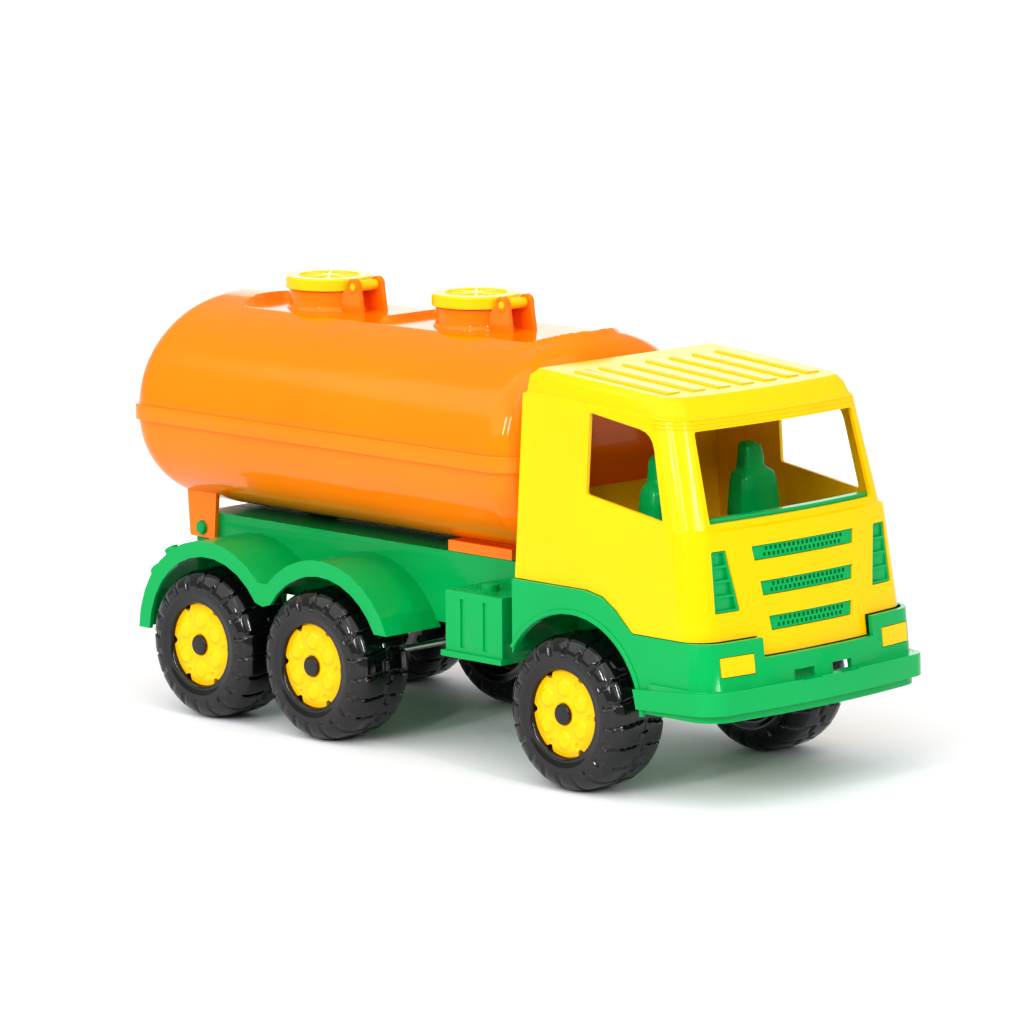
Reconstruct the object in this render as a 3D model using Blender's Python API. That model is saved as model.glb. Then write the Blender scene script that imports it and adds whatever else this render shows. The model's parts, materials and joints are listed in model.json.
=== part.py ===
"""A push-along toy tanker truck in moulded plastic, in metres: +X forward, +Y left, +Z up.

The origin is on the ground, under the middle of the bounding box. Every length that can be
chosen by itself is one of the named values below, and everything else is worked out from them.
"""

import math

import bmesh
import bpy
from mathutils import Vector

# Wheels and axles
WHEEL_RADIUS = 0.042
TYRE_WIDTH = 0.040
TYRE_OUTER_Y = 0.0915
TYRE_SHOULDER = 0.0075
HUB_RADIUS = 0.0232
HUB_DEPTH = 0.0014
HUB_DISC_THICKNESS = 0.0045
HUB_BOSS_RADIUS = 0.0072
CAP_RADIUS = 0.0056
AXLE_RADIUS = 0.0020
TYRE_TO_TYRE_GAP = 0.0081
TYRE_SIDES = 28
HUB_SIDES = 20
CAP_SIDES = 12
AXLE_SIDES = 12

# How far the bumper reaches in front of the front axle
FRONT_REACH = 0.1095

# Gaps between pieces
REST_GAP = 0.0003
SLIP_GAP = 0.0005
PIVOT_GAP = 0.0004

# Chassis
DECK_HALF_WIDTH = 0.0440
DECK_DEPTH = 0.0400
DECK_WALL = 0.0025
DECK_BEHIND_PIVOT = 0.0083
DECK_TAIL_ROUND = 0.0065
NECK_HALF_WIDTH = 0.0360
NECK_DROP = 0.0140
NECK_REACH = 0.0500
BEARING_WIDTH = 0.0050
BEARING_LENGTH = 0.0130
GUARD_CLEARANCE = 0.0070
GUARD_LIP = 0.0090
GUARD_WALL = 0.0024
GUARD_OUTER_Y = 0.0840
GUARD_VALLEY_RISE = 0.0060
LAMP_RADIUS = 0.0042
LAMP_HEIGHT = 0.0035
BOX_LENGTH = 0.0430
BOX_OUTER_Y = 0.0800
BOX_FLANGE = 0.0020
BOX_CAP_RADIUS = 0.0050
BOX_CAP_HEIGHT = 0.0035
BOX_CAP_FROM_FRONT = 0.0230
BOX_CAP_FROM_EDGE = 0.0140
BOX_SETBACK = 0.0100
BOX_GROOVE = 0.0035
BOX_GROOVE_DEPTH = 0.0010
PIVOT_RADIUS = 0.0040
PIVOT_BEHIND_REAR_TYRE = 0.0020
PIVOT_FROM_TANK_END = 0.0303

# Cab
CAB_REAR_GAP = 0.0040
CAB_WALL = 0.0022
CAB_LENGTH_BEHIND_AXLE = 0.0450
CAB_HALF_WIDTH = 0.0800
CAB_ROOF_HALF_WIDTH = 0.0725
CAB_FLOOR_THICKNESS = 0.0025
CAB_CORNER = 0.0160
CAB_BOW = 1.0
CORNER_STEPS = 8
CAB_SHELL_FRONT = 0.0896
BELT_STEP = 0.0031
SHELL_LEAN = 0.14
SCREEN_LEAN = 0.27
BASE_PROUD = 0.0025
LIP_PROUD = 0.0030
BASE_WALL = 0.0026
ARCH_CLEARANCE = 0.0080
GRILLE_RECESS = 0.0010
GRILLE_WALL = 0.0018
SEAT_BACK_HEIGHT = 0.0760
SEAT_BACK_AHEAD_OF_AXLE = 0.0130
SEAT_BACK_DEPTH = 0.0140
SEAT_WIDTH = 0.0420
SEAT_SPACING = 0.0600
BENCH_LENGTH = 0.0400
BENCH_HEIGHT = 0.0250
LAMP_LENS_WIDTH = 0.0220
LAMP_LENS_HEIGHT = 0.0100
LENS_PROUD = 0.0006
LAMP_FROM_SIDE = 0.0190
SCREEN_SIDE_MARGIN = 0.0172
SCREEN_TAPER = 0.0022
REAR_WINDOW_MARGIN = 0.0240
WINDOW_CORNER = 0.0030
GRILLE_MARGIN = 0.0406
GRILLE_NARROWING = 0.0036
GRILLE_SLOT_HEIGHT = 0.0077
GRILLE_PITCH = 0.01845
GRILLE_TAPER = 0.0010
VENT_MARGIN = 0.0130
VENT_TOP_WIDTH = 0.0100
VENT_BOTTOM_WIDTH = 0.0175
VENT_LEAN = 0.0015
FRONT_NOTCH_MARGIN = 0.0380
TOW_SLOT_INNER = 0.0070
TOW_SLOT_OUTER = 0.0222
BASE_FRONT = 0.1015
BASE_LEAN = 0.12
CORNER_LIP_INNER = 0.0470
CORNER_LIP_PROUD = 0.0018
LIP_BACK = 0.0300
LIP_UNDER_SLOPE = -0.045
LIP_TOP_SLOPE = -0.075
LEDGE_BACK = 0.0550
ARCH_BACK = 0.0010
ARCH_RISE = 0.0020
WINDOW_REAR = 0.0045
WINDOW_FRONT = 0.0605
WINDOW_FRONT_LEAN = 0.0105
WINDOW_FRONT_DROP = 0.0065
DASH_DEPTH = 0.0360
DASH_MARGIN = 0.0175
DASH_ABOVE_SILL = 0.0022
SEAT_SHOULDER_SHARE = 0.86
SEAT_SHOULDER_DROP = 0.0260
HEADREST_SHARE = 0.40
HEADREST_HEIGHT = 0.0140
SCREW_RADIUS = 0.0022
SCREW_HEAD_RADIUS = 0.0042
SCREW_LENGTH = 0.0074

# Tank
TANK_LENGTH = 0.3110
TANK_HALF_WIDTH = 0.0780
TANK_WALL = 0.0022
TANK_CORNER = 0.0200
TANK_ROUNDNESS = 2.15
BAND_PROUD = 0.0020
BAND_TRIM = 0.0005
BAND_BELOW = 0.0040
BAND_ABOVE = 0.0050
TRAY_DEPTH = 0.0045
TRAY_MARGIN = 0.0400
TRAY_HALF_WIDTH = 0.0360
RIB_WIDTH = 0.0060
HATCH_SPACING = 0.1180
HATCH_OFFSET = -0.0085
NECK_RADIUS = 0.0225
NECK_WALL = 0.0020
NECK_HEIGHT = 0.0110
LID_OVERHANG = 0.0023
LID_THICKNESS = 0.0075
LID_SIDES = 32
EAR_SPACING = 0.0180
EAR_THICKNESS = 0.0030
PIN_FROM_NECK = 0.0075
EAR_LENGTH = 0.0110
EAR_ROUND_SHARE = 0.42
EAR_FOOT_SHARE = 0.62
PIN_RADIUS = 0.0022
LEG_LENGTH = 0.0245
LEG_THICKNESS = 0.0028
LEG_FOOT_SHARE = 0.42
LEG_TOP_BELOW_SEAM = 0.0400
LEG_ABOVE_GUARD = 0.0025
LEG_BELOW_PIVOT = 0.0055
FOOT_LENGTH = 0.0490
FOOT_THICKNESS = 0.0059
FOOT_RISER_INSET = 0.0080
FOOT_RISER_HEIGHT = 0.0060
FOOT_SETBACK = 0.0345

# Heights, each as a rise above the axles' line, so that the whole truck rides on its wheels
DECK_TOP = WHEEL_RADIUS + 0.0658
GUARD_REAR_FOOT = WHEEL_RADIUS + 0.0025
GUARD_FRONT_FOOT = WHEEL_RADIUS + 0.0225
BOX_TOP = WHEEL_RADIUS + 0.0535
BOX_BOTTOM = WHEEL_RADIUS + 0.0190
CAB_FLOOR_TOP = WHEEL_RADIUS + 0.0570
CAB_SHELL_BOTTOM = WHEEL_RADIUS + 0.0663
CAB_BELT = WHEEL_RADIUS + 0.1030
CAB_EAVE = WHEEL_RADIUS + 0.1625
CAB_ROOF = WHEEL_RADIUS + 0.1745
LIP_BOTTOM = WHEEL_RADIUS + 0.0045
LAMP_LENS_Z = WHEEL_RADIUS + 0.0348
TANK_SEAM = WHEEL_RADIUS + 0.1240
TANK_TOP = WHEEL_RADIUS + 0.1880
TANK_BOTTOM = WHEEL_RADIUS + 0.0672
SHELL_LOW_SIDE = WHEEL_RADIUS + 0.0475
SHELL_LOW_FRONT = WHEEL_RADIUS + 0.0370
LIP_TOP = WHEEL_RADIUS + 0.0155
CORNER_LIP_TOP = WHEEL_RADIUS + 0.0230
LEDGE_TOP = WHEEL_RADIUS + 0.0345
TOW_SLOT_BOTTOM = WHEEL_RADIUS + 0.0230
TOW_SLOT_TOP = WHEEL_RADIUS + 0.0279
SHELL_FRONT_LEVEL = WHEEL_RADIUS + 0.0930
BASE_FRONT_LEVEL = WHEEL_RADIUS + 0.0400
WINDOW_SILL = WHEEL_RADIUS + 0.1075
WINDOW_SILL_REAR = WHEEL_RADIUS + 0.1160
WINDOW_HEAD = WHEEL_RADIUS + 0.1590
SCREEN_SILL = WHEEL_RADIUS + 0.1065
SCREEN_HEAD = WHEEL_RADIUS + 0.1535
REAR_WINDOW_SILL = WHEEL_RADIUS + 0.1080
REAR_WINDOW_HEAD = WHEEL_RADIUS + 0.1560
VENT_TOP = WHEEL_RADIUS + 0.0935
VENT_BOTTOM = WHEEL_RADIUS + 0.0615

# Places that follow from the sizes above
REAR_REACH = CAB_LENGTH_BEHIND_AXLE + CAB_REAR_GAP + TANK_LENGTH + BAND_PROUD - BAND_TRIM
FRONT_AXLE_X = (REAR_REACH - FRONT_REACH) / 2
GUARD_INNER_RADIUS = WHEEL_RADIUS + GUARD_CLEARANCE
GUARD_OUTER_RADIUS = GUARD_INNER_RADIUS + GUARD_LIP
CAB_REAR_X = FRONT_AXLE_X - CAB_LENGTH_BEHIND_AXLE
TANK_FRONT_X = CAB_REAR_X - CAB_REAR_GAP
TANK_REAR_X = TANK_FRONT_X - TANK_LENGTH
PIVOT_X = TANK_REAR_X + PIVOT_FROM_TANK_END
REAR_AXLE_X = PIVOT_X + PIVOT_BEHIND_REAR_TYRE + WHEEL_RADIUS
MIDDLE_TO_REAR_AXLE = 2 * WHEEL_RADIUS + TYRE_TO_TYRE_GAP
MIDDLE_AXLE_X = REAR_AXLE_X + MIDDLE_TO_REAR_AXLE
TANK_MIDDLE_X = (TANK_FRONT_X + TANK_REAR_X) / 2 + HATCH_OFFSET
TRAY_FLOOR = TANK_TOP - TRAY_DEPTH
HATCH_X = {"rear": TANK_MIDDLE_X - HATCH_SPACING / 2, "front": TANK_MIDDLE_X + HATCH_SPACING / 2}
NECK_RIM = TRAY_FLOOR + NECK_HEIGHT
PIN_Z = NECK_RIM + LID_THICKNESS / 2
LID_RADIUS = NECK_RADIUS + LID_OVERHANG
EAR_REACH = NECK_RADIUS + PIN_FROM_NECK
LEG_FROM_AXLE = WHEEL_RADIUS + PIVOT_BEHIND_REAR_TYRE - LEG_LENGTH / 2
LEG_BOTTOM = WHEEL_RADIUS + math.sqrt(GUARD_OUTER_RADIUS ** 2 - LEG_FROM_AXLE ** 2) + LEG_ABOVE_GUARD
PIVOT_HEIGHT = LEG_BOTTOM + LEG_BELOW_PIVOT
DECK_REAR_X = PIVOT_X - DECK_BEHIND_PIVOT
DECK_FRONT_X = CAB_REAR_X - REST_GAP
DECK_UNDER = DECK_TOP - DECK_DEPTH
ARCH_RADIUS = WHEEL_RADIUS + ARCH_CLEARANCE
BASE_HALF_WIDTH = CAB_HALF_WIDTH + BASE_PROUD
LIP_HALF_WIDTH = BASE_HALF_WIDTH + LIP_PROUD
LIP_FRONT_X = FRONT_AXLE_X + FRONT_REACH
LAMP_LENS_Y = CAB_HALF_WIDTH - LAMP_FROM_SIDE
FRONT_NOTCH_HALF = CAB_HALF_WIDTH - FRONT_NOTCH_MARGIN

# Colours as linear RGB, with roughness and metallic value
PAINTS = {
    "green": ((0.0, 0.42, 0.13), 0.30, 0.0),
    "yellow": ((0.95, 0.68, 0.0), 0.30, 0.0),
    "orange": ((0.95, 0.30, 0.0), 0.28, 0.0),
    "black": ((0.012, 0.012, 0.013), 0.28, 0.0),
    "steel": ((0.60, 0.61, 0.63), 0.30, 1.0),
}


def clear_scene():
    for old in list(bpy.data.objects):
        bpy.data.objects.remove(old, do_unlink=True)


def paint(name):
    """The material of this colour, made once."""
    found = bpy.data.materials.get(name)
    if found:
        return found
    colour, roughness, metallic = PAINTS[name]
    made = bpy.data.materials.new(name)
    made.use_nodes = True
    shader = made.node_tree.nodes["Principled BSDF"]
    shader.inputs["Base Color"].default_value = (*colour, 1)
    shader.inputs["Roughness"].default_value = roughness
    shader.inputs["Metallic"].default_value = metallic
    return made


def mesh_from_rings(name, rings):
    """A closed mesh through rings of equal length, with a flat cap on the first and the last."""
    work = bmesh.new()
    rows = [[work.verts.new(point) for point in ring] for ring in rings]
    count = len(rows[0])
    for low, high in zip(rows, rows[1:]):
        for i in range(count):
            work.faces.new((low[i], low[(i + 1) % count], high[(i + 1) % count], high[i]))
    work.faces.new(rows[0][::-1])
    work.faces.new(rows[-1])
    bmesh.ops.recalc_face_normals(work, faces=work.faces)
    mesh = bpy.data.meshes.new(name)
    work.to_mesh(mesh)
    work.free()
    return mesh


def prism(name, outline, axis, low, high):
    """An outline of two coordinates carried along the third one, from low to high."""
    def point(pair, along):
        values = list(pair)
        values.insert("XYZ".index(axis), along)
        return Vector(values)

    return mesh_from_rings(name, [[point(pair, along) for pair in outline] for along in (low, high)])


def block(name, low, high):
    outline = [(low[0], low[1]), (high[0], low[1]), (high[0], high[1]), (low[0], high[1])]
    return prism(name, outline, "Z", low[2], high[2])


def turned(name, profile, sides, axis, centre):
    """A closed solid turned about an axis: profile holds (radius, place along the axis) pairs.

    A profile that starts and ends on radius 0 gives a full body; any other is a ring.
    """
    work = bmesh.new()

    def corner(radius, along, angle):
        across = (radius * math.cos(angle), radius * math.sin(angle))
        place = list(across)
        place.insert("XYZ".index(axis), along)
        return Vector(place) + Vector(centre)

    rows = []
    for radius, along in profile:
        if radius == 0:
            rows.append([work.verts.new(corner(0, along, 0))] * sides)
        else:
            angles = [2 * math.pi * k / sides for k in range(sides)]
            rows.append([work.verts.new(corner(radius, along, a)) for a in angles])
    full = profile[0][0] == 0
    pairs = list(zip(rows, rows[1:])) if full else list(zip(rows, rows[1:] + rows[:1]))
    for one, two in pairs:
        for k in range(sides):
            after = (k + 1) % sides
            corners = []
            for vertex in (one[k], one[after], two[after], two[k]):
                if vertex not in corners:
                    corners.append(vertex)
            if len(corners) > 2:
                work.faces.new(corners)
    bmesh.ops.recalc_face_normals(work, faces=work.faces)
    mesh = bpy.data.meshes.new(name)
    work.to_mesh(mesh)
    work.free()
    return mesh


def place(name, mesh, colour, smooth=True):
    """An object of the model."""
    made = bpy.data.objects.new(name, mesh)
    bpy.context.scene.collection.objects.link(made)
    if not mesh.materials:
        mesh.materials.append(paint(colour))
    if smooth:
        mesh.shade_smooth()
        mesh.set_sharp_from_angle(angle=math.radians(35))
    return made


def helper(mesh):
    """A hidden object that only cuts or joins."""
    made = bpy.data.objects.new("helper_" + mesh.name, mesh)
    bpy.context.scene.collection.objects.link(made)
    made.hide_render = True
    made.display_type = "WIRE"
    return made


def shape(target, operation, meshes):
    """Cuts (DIFFERENCE), joins (UNION) or keeps what is common (INTERSECT), one mesh at a time."""
    for mesh in meshes:
        step = target.modifiers.new(operation.title(), "BOOLEAN")
        step.operation = operation
        step.solver = "EXACT"
        step.object = helper(mesh)


def baked(target):
    """The target's mesh with its modifiers applied; the target and its helpers go."""
    bpy.context.view_layer.update()
    graph = bpy.context.evaluated_depsgraph_get()
    mesh = bpy.data.meshes.new_from_object(target.evaluated_get(graph))
    mesh.name = target.name
    used = [step.object for step in target.modifiers if step.type == "BOOLEAN"]
    for old in used + [target]:
        bpy.data.objects.remove(old, do_unlink=True)
    return mesh


def combined(name, base, *steps):
    """One mesh made from base by steps of (operation, meshes)."""
    work = helper(base)
    work.name = name
    for operation, meshes in steps:
        shape(work, operation, meshes)
    return baked(work)


def arc(centre, radius, start, end, steps):
    """Points on an arc, angles in degrees."""
    points = []
    for k in range(steps + 1):
        angle = math.radians(start + (end - start) * k / steps)
        points.append((centre[0] + radius * math.cos(angle), centre[1] + radius * math.sin(angle)))
    return points


def both_sides(make):
    """What make(side) gives for the right side, -1, and the left side, +1."""
    return [make(-1), make(1)]


# ---------------------------------------------------------------- wheels and axles

def wheel_y(side, depth):
    """The place across the truck of a depth measured inward from the tyre's outer face."""
    return side * (TYRE_OUTER_Y - depth)


def tyre_mesh(side):
    radius, shoulder, width = WHEEL_RADIUS, TYRE_SHOULDER, TYRE_WIDTH
    bore = HUB_RADIUS + REST_GAP
    half = [(bore, 0.0), (radius - shoulder, 0.0), (radius - shoulder * 0.3, shoulder * 0.3),
            (radius, shoulder)]
    profile = half + [(r, width - depth) for r, depth in reversed(half)]
    return turned("tyre", [(r, wheel_y(side, depth)) for r, depth in profile], TYRE_SIDES, "Y", (0, 0, 0))


def hub_mesh(side):
    bore = AXLE_RADIUS + REST_GAP
    pocket = CAP_RADIUS + REST_GAP
    face, back = HUB_DEPTH, HUB_DEPTH + HUB_DISC_THICKNESS
    seat = face + HUB_DISC_THICKNESS / 2
    inner = TYRE_WIDTH - 0.002
    profile = [(pocket, face), (HUB_RADIUS, face), (HUB_RADIUS, back), (HUB_BOSS_RADIUS, back),
               (HUB_BOSS_RADIUS, inner), (bore, inner), (bore, seat), (pocket, seat)]
    return turned("hub", [(r, wheel_y(side, depth)) for r, depth in profile], HUB_SIDES, "Y", (0, 0, 0))


def cap_mesh(side):
    face = HUB_DEPTH - 0.0011
    back = HUB_DEPTH + HUB_DISC_THICKNESS / 2 - REST_GAP
    profile = [(0, face), (CAP_RADIUS - 0.0010, face), (CAP_RADIUS, face + 0.0010),
               (CAP_RADIUS, back), (0, back)]
    return turned("cap", [(r, wheel_y(side, depth)) for r, depth in profile], CAP_SIDES, "Y", (0, 0, 0))


def make_axle_set(label, axle_x):
    """One steel axle with a tyre, a hub and an end cap at each side, all on one turning line."""
    spin = bpy.data.objects.new(label + "_axle_line", None)
    spin.location = (axle_x, 0, WHEEL_RADIUS)
    bpy.context.scene.collection.objects.link(spin)
    end = TYRE_OUTER_Y - HUB_DEPTH - HUB_DISC_THICKNESS / 2 - REST_GAP
    rod = turned("axle", [(0, -end), (AXLE_RADIUS, -end), (AXLE_RADIUS, end), (0, end)],
                 AXLE_SIDES, "Y", (0, 0, 0))
    pieces = [place(label + "_axle", rod, "steel")]
    for side, word in ((-1, "right"), (1, "left")):
        pieces.append(place(f"{label}_tyre_{word}", tyre_mesh(side), "black"))
        pieces.append(place(f"{label}_hub_{word}", hub_mesh(side), "yellow"))
        pieces.append(place(f"{label}_cap_{word}", cap_mesh(side), "black"))
    for piece in pieces:
        piece.parent = spin


# ---------------------------------------------------------------- chassis

def guard_outline(radius, valley_rise):
    """The M-shaped line of a mudguard over the two rear wheels, from its rear foot to its front one."""
    rear, front = (REAR_AXLE_X, WHEEL_RADIUS), (MIDDLE_AXLE_X, WHEEL_RADIUS)
    half = MIDDLE_TO_REAR_AXLE / 2
    meet = math.degrees(math.acos(half / radius))
    valley = meet + math.degrees(valley_rise / radius)
    first = math.degrees(math.asin((GUARD_REAR_FOOT - WHEEL_RADIUS) / radius))
    last = math.degrees(math.asin((GUARD_FRONT_FOOT - WHEEL_RADIUS) / radius))
    over_rear = arc(rear, radius, 180 - first, valley, 12)
    over_front = arc(front, radius, 180 - valley, last, 11)
    dip = ((REAR_AXLE_X + MIDDLE_AXLE_X) / 2,
           WHEEL_RADIUS + radius * math.sin(math.radians(meet)) + valley_rise * 0.75)
    return over_rear + [dip] + over_front


def mudguard(side):
    """A vault over two wheels with a deep lip at its outer edge."""
    outer = guard_outline(GUARD_OUTER_RADIUS, GUARD_VALLEY_RISE)
    under = guard_outline(GUARD_OUTER_RADIUS - GUARD_WALL, GUARD_VALLEY_RISE)
    edge = guard_outline(GUARD_INNER_RADIUS, GUARD_VALLEY_RISE * 2.2)
    inside = side * (DECK_HALF_WIDTH - DECK_WALL / 2)
    outside = side * GUARD_OUTER_Y
    vault = prism("vault", outer + under[::-1], "Y", inside, outside - side * GUARD_WALL / 2)
    lip = prism("lip", outer + edge[::-1], "Y", outside - side * GUARD_WALL, outside)
    lamps = []
    for angle in (127, 144):
        mid_y = outside - side * (LAMP_RADIUS + 0.0025)
        centre = arc((REAR_AXLE_X, WHEEL_RADIUS), GUARD_OUTER_RADIUS - GUARD_WALL / 2, angle, angle, 1)[0]
        lamp = turned("lamp", [(0, 0), (LAMP_RADIUS, 0), (LAMP_RADIUS, LAMP_HEIGHT + GUARD_WALL / 2),
                               (0, LAMP_HEIGHT + GUARD_WALL / 2)], 12, "X", (0, 0, 0))
        turn = math.radians(angle)
        for vertex in lamp.vertices:
            along, across, third = vertex.co
            vertex.co = (centre[0] + along * math.cos(turn) - third * math.sin(turn),
                         mid_y + across,
                         centre[1] + along * math.sin(turn) + third * math.cos(turn))
        lamps.append(lamp)
    return [vault, lip] + lamps


def side_box(side):
    """A fuel-tank box under the deck's edge, behind the cab, with a filler cap on top."""
    front = CAB_REAR_X - BOX_SETBACK
    rear = front - BOX_LENGTH
    inner, outer = side * (DECK_HALF_WIDTH - DECK_WALL / 2), side * BOX_OUTER_Y
    flange = side * (BOX_OUTER_Y + BOX_FLANGE)
    low, high = min(inner, outer), max(inner, outer)
    body = block("box", (rear, low, BOX_BOTTOM), (front, high, BOX_TOP))
    low, high = min(inner, flange), max(inner, flange)
    rim = block("box_rim", (rear - BOX_FLANGE, low, BOX_BOTTOM - 0.0015),
                (front + BOX_FLANGE / 2, high, BOX_BOTTOM + 0.0015))
    low, high = sorted((side * DECK_HALF_WIDTH, side * (BOX_OUTER_Y - DECK_WALL)))
    hollow = block("box_hollow", (rear + DECK_WALL, low, BOX_BOTTOM - 0.01),
                   (front - DECK_WALL, high, BOX_TOP - DECK_WALL))
    middle = (front - BOX_CAP_FROM_FRONT, side * (BOX_OUTER_Y - BOX_CAP_FROM_EDGE))
    cap = turned("box_cap", [(0, 0), (BOX_CAP_RADIUS, 0), (BOX_CAP_RADIUS, BOX_CAP_HEIGHT + 0.001),
                             (0, BOX_CAP_HEIGHT + 0.001)], 16, "Z", (*middle, BOX_TOP - 0.001))
    grooves = []
    for share in (0.30, 0.70):
        middle_x = front - BOX_LENGTH * share
        low, high = sorted((side * (BOX_OUTER_Y - BOX_GROOVE_DEPTH), side * (BOX_OUTER_Y + 0.01)))
        grooves.append(block("box_groove", (middle_x - BOX_GROOVE / 2, low, BOX_BOTTOM + 0.004),
                             (middle_x + BOX_GROOVE / 2, high, BOX_TOP - 0.004)))
    return [body, rim, cap], [hollow] + grooves


def bearing(axle_x, side, top):
    """A plate that comes down from the deck and holds the axle in a hole."""
    inner = side * (NECK_HALF_WIDTH - BEARING_WIDTH)
    low, high = sorted((inner, side * NECK_HALF_WIDTH))
    outline = [(axle_x - BEARING_LENGTH, top), (axle_x - BEARING_LENGTH / 2, WHEEL_RADIUS)]
    outline += arc((axle_x, WHEEL_RADIUS), BEARING_LENGTH / 2, 180, 360, 8)[1:]
    outline += [(axle_x + BEARING_LENGTH, top)]
    return prism("bearing", outline, "Y", low, high)


def axle_hole(axle_x):
    reach = DECK_HALF_WIDTH + 0.01
    radius = AXLE_RADIUS + PIVOT_GAP
    profile = [(0, -reach), (radius, -reach), (radius, reach), (0, reach)]
    return turned("axle_hole", profile, AXLE_SIDES, "Y", (axle_x, 0, WHEEL_RADIUS))


def deck_outline(inset, drop):
    """The deck from the side, with its tail edge rounded so that the tank's belly passes as it tips."""
    radius = DECK_TAIL_ROUND - inset
    rear, front = DECK_REAR_X + inset, DECK_FRONT_X - inset
    top, under = DECK_TOP - inset, DECK_UNDER - drop
    tail = arc((rear + radius, top - radius), radius, 90, 180, 4)
    return [(rear, under), (front, under), (front, top)] + tail


def make_chassis():
    """The deck channel with its neck under the cab, axle plates, mudguards, boxes and pivot bosses."""
    neck_top = DECK_TOP - NECK_DROP
    neck_front = FRONT_AXLE_X + NECK_REACH
    deck = prism("chassis", deck_outline(0.0, 0.0), "Y", -DECK_HALF_WIDTH, DECK_HALF_WIDTH)
    neck = block("neck", (DECK_FRONT_X - DECK_WALL, -NECK_HALF_WIDTH, DECK_UNDER),
                 (neck_front, NECK_HALF_WIDTH, neck_top))
    guards, boxes, hollows = [], [], []
    for side in (-1, 1):
        guards += mudguard(side)
        added, removed = side_box(side)
        boxes += added
        hollows += removed
    belly = prism("belly", deck_outline(DECK_WALL, 0.01), "Y",
                  -DECK_HALF_WIDTH + DECK_WALL, DECK_HALF_WIDTH - DECK_WALL)
    throat = block("throat", (DECK_FRONT_X - 2 * DECK_WALL, -NECK_HALF_WIDTH + DECK_WALL, DECK_UNDER - 0.01),
                   (neck_front - DECK_WALL, NECK_HALF_WIDTH - DECK_WALL, neck_top - DECK_WALL))
    plates = []
    for axle_x in (REAR_AXLE_X, MIDDLE_AXLE_X):
        plates += both_sides(lambda side, x=axle_x: bearing(x, side, DECK_TOP - DECK_WALL / 2))
    plates += both_sides(lambda side: bearing(FRONT_AXLE_X, side, neck_top - DECK_WALL / 2))
    bosses = []
    for side in (-1, 1):
        inner = side * (DECK_HALF_WIDTH - DECK_WALL / 2)
        outer = side * (DECK_HALF_WIDTH + SLIP_GAP + LEG_THICKNESS + 0.0022)
        profile = [(0, inner), (PIVOT_RADIUS, inner), (PIVOT_RADIUS, outer - side * 0.001),
                   (PIVOT_RADIUS - 0.001, outer), (0, outer)]
        bosses.append(turned("boss", profile, 16, "Y", (PIVOT_X, 0, PIVOT_HEIGHT)))
    holes = [axle_hole(x) for x in (REAR_AXLE_X, MIDDLE_AXLE_X, FRONT_AXLE_X)]
    screw_holes = [screw_hole(x, y) for x, y in SCREW_PLACES]
    mesh = combined("chassis", deck, ("UNION", [neck]), ("DIFFERENCE", [belly, throat]),
                    ("UNION", guards + boxes), ("DIFFERENCE", hollows),
                    ("UNION", plates + bosses), ("DIFFERENCE", holes + screw_holes))
    place("chassis", mesh, "green")


# ---------------------------------------------------------------- screws

SCREW_PLACES = [(FRONT_AXLE_X + NECK_REACH * 0.55, side * NECK_HALF_WIDTH * 0.5) for side in (-1, 1)]
SCREW_PLACES += [(FRONT_AXLE_X - CAB_LENGTH_BEHIND_AXLE * 0.6, side * NECK_HALF_WIDTH * 0.5)
                 for side in (-1, 1)]


def screw_hole(x, y):
    radius = SCREW_RADIUS + REST_GAP
    low, high = DECK_TOP - NECK_DROP - 0.01, CAB_FLOOR_TOP - 0.0005
    return turned("screw_hole", [(0, low), (radius, low), (radius, high + 0.01), (0, high + 0.01)],
                  12, "Z", (x, y, 0))


def make_screws():
    """Four screws put in from below, through the neck and into the cab's floor."""
    head_top = DECK_TOP - NECK_DROP - DECK_WALL - REST_GAP
    for number, (x, y) in enumerate(SCREW_PLACES, 1):
        profile = [(0, head_top - 0.0022), (SCREW_HEAD_RADIUS, head_top - 0.0022),
                   (SCREW_HEAD_RADIUS, head_top), (SCREW_RADIUS, head_top),
                   (SCREW_RADIUS, head_top + SCREW_LENGTH), (0, head_top + SCREW_LENGTH)]
        place(f"cab_screw_{number}", turned("screw", profile, 12, "Z", (x, y, 0)), "steel")


# ---------------------------------------------------------------- cab

def cab_ring(height, half_width, front_x, rear_x, slope=0.0, corner=CAB_CORNER):
    """A level outline of the cab: square at the rear, rounded and bowed at the front."""
    def bow(y):
        return front_x - CAB_BOW * y * y

    inset = half_width - corner
    points = [(rear_x, -half_width)]
    points += [(bow(inset) - corner + x, -inset + y) for x, y in arc((0, 0), corner, -90, -6, CORNER_STEPS)]
    points += [(bow(inset * k / 4), inset * k / 4) for k in range(-3, 4)]
    points += [(bow(inset) - corner + x, inset + y) for x, y in arc((0, 0), corner, 6, 90, CORNER_STEPS)]
    points += [(rear_x, half_width)]
    return [Vector((x, y, height - slope * (x - FRONT_AXLE_X))) for x, y in points]


def shell_front(height):
    """How far forward the shell's middle line is at a height."""
    if height <= CAB_BELT:
        return FRONT_AXLE_X + CAB_SHELL_FRONT + (SHELL_FRONT_LEVEL - height) * SHELL_LEAN
    return FRONT_AXLE_X + CAB_SHELL_FRONT - BELT_STEP + (SHELL_FRONT_LEVEL - CAB_BELT) * SHELL_LEAN \
        - (height - CAB_BELT) * SCREEN_LEAN


def shell_half_width(height):
    share = (height - CAB_SHELL_BOTTOM) / (CAB_ROOF - CAB_SHELL_BOTTOM)
    return CAB_HALF_WIDTH + (CAB_ROOF_HALF_WIDTH - CAB_HALF_WIDTH) * min(1.0, max(-0.5, share))


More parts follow.
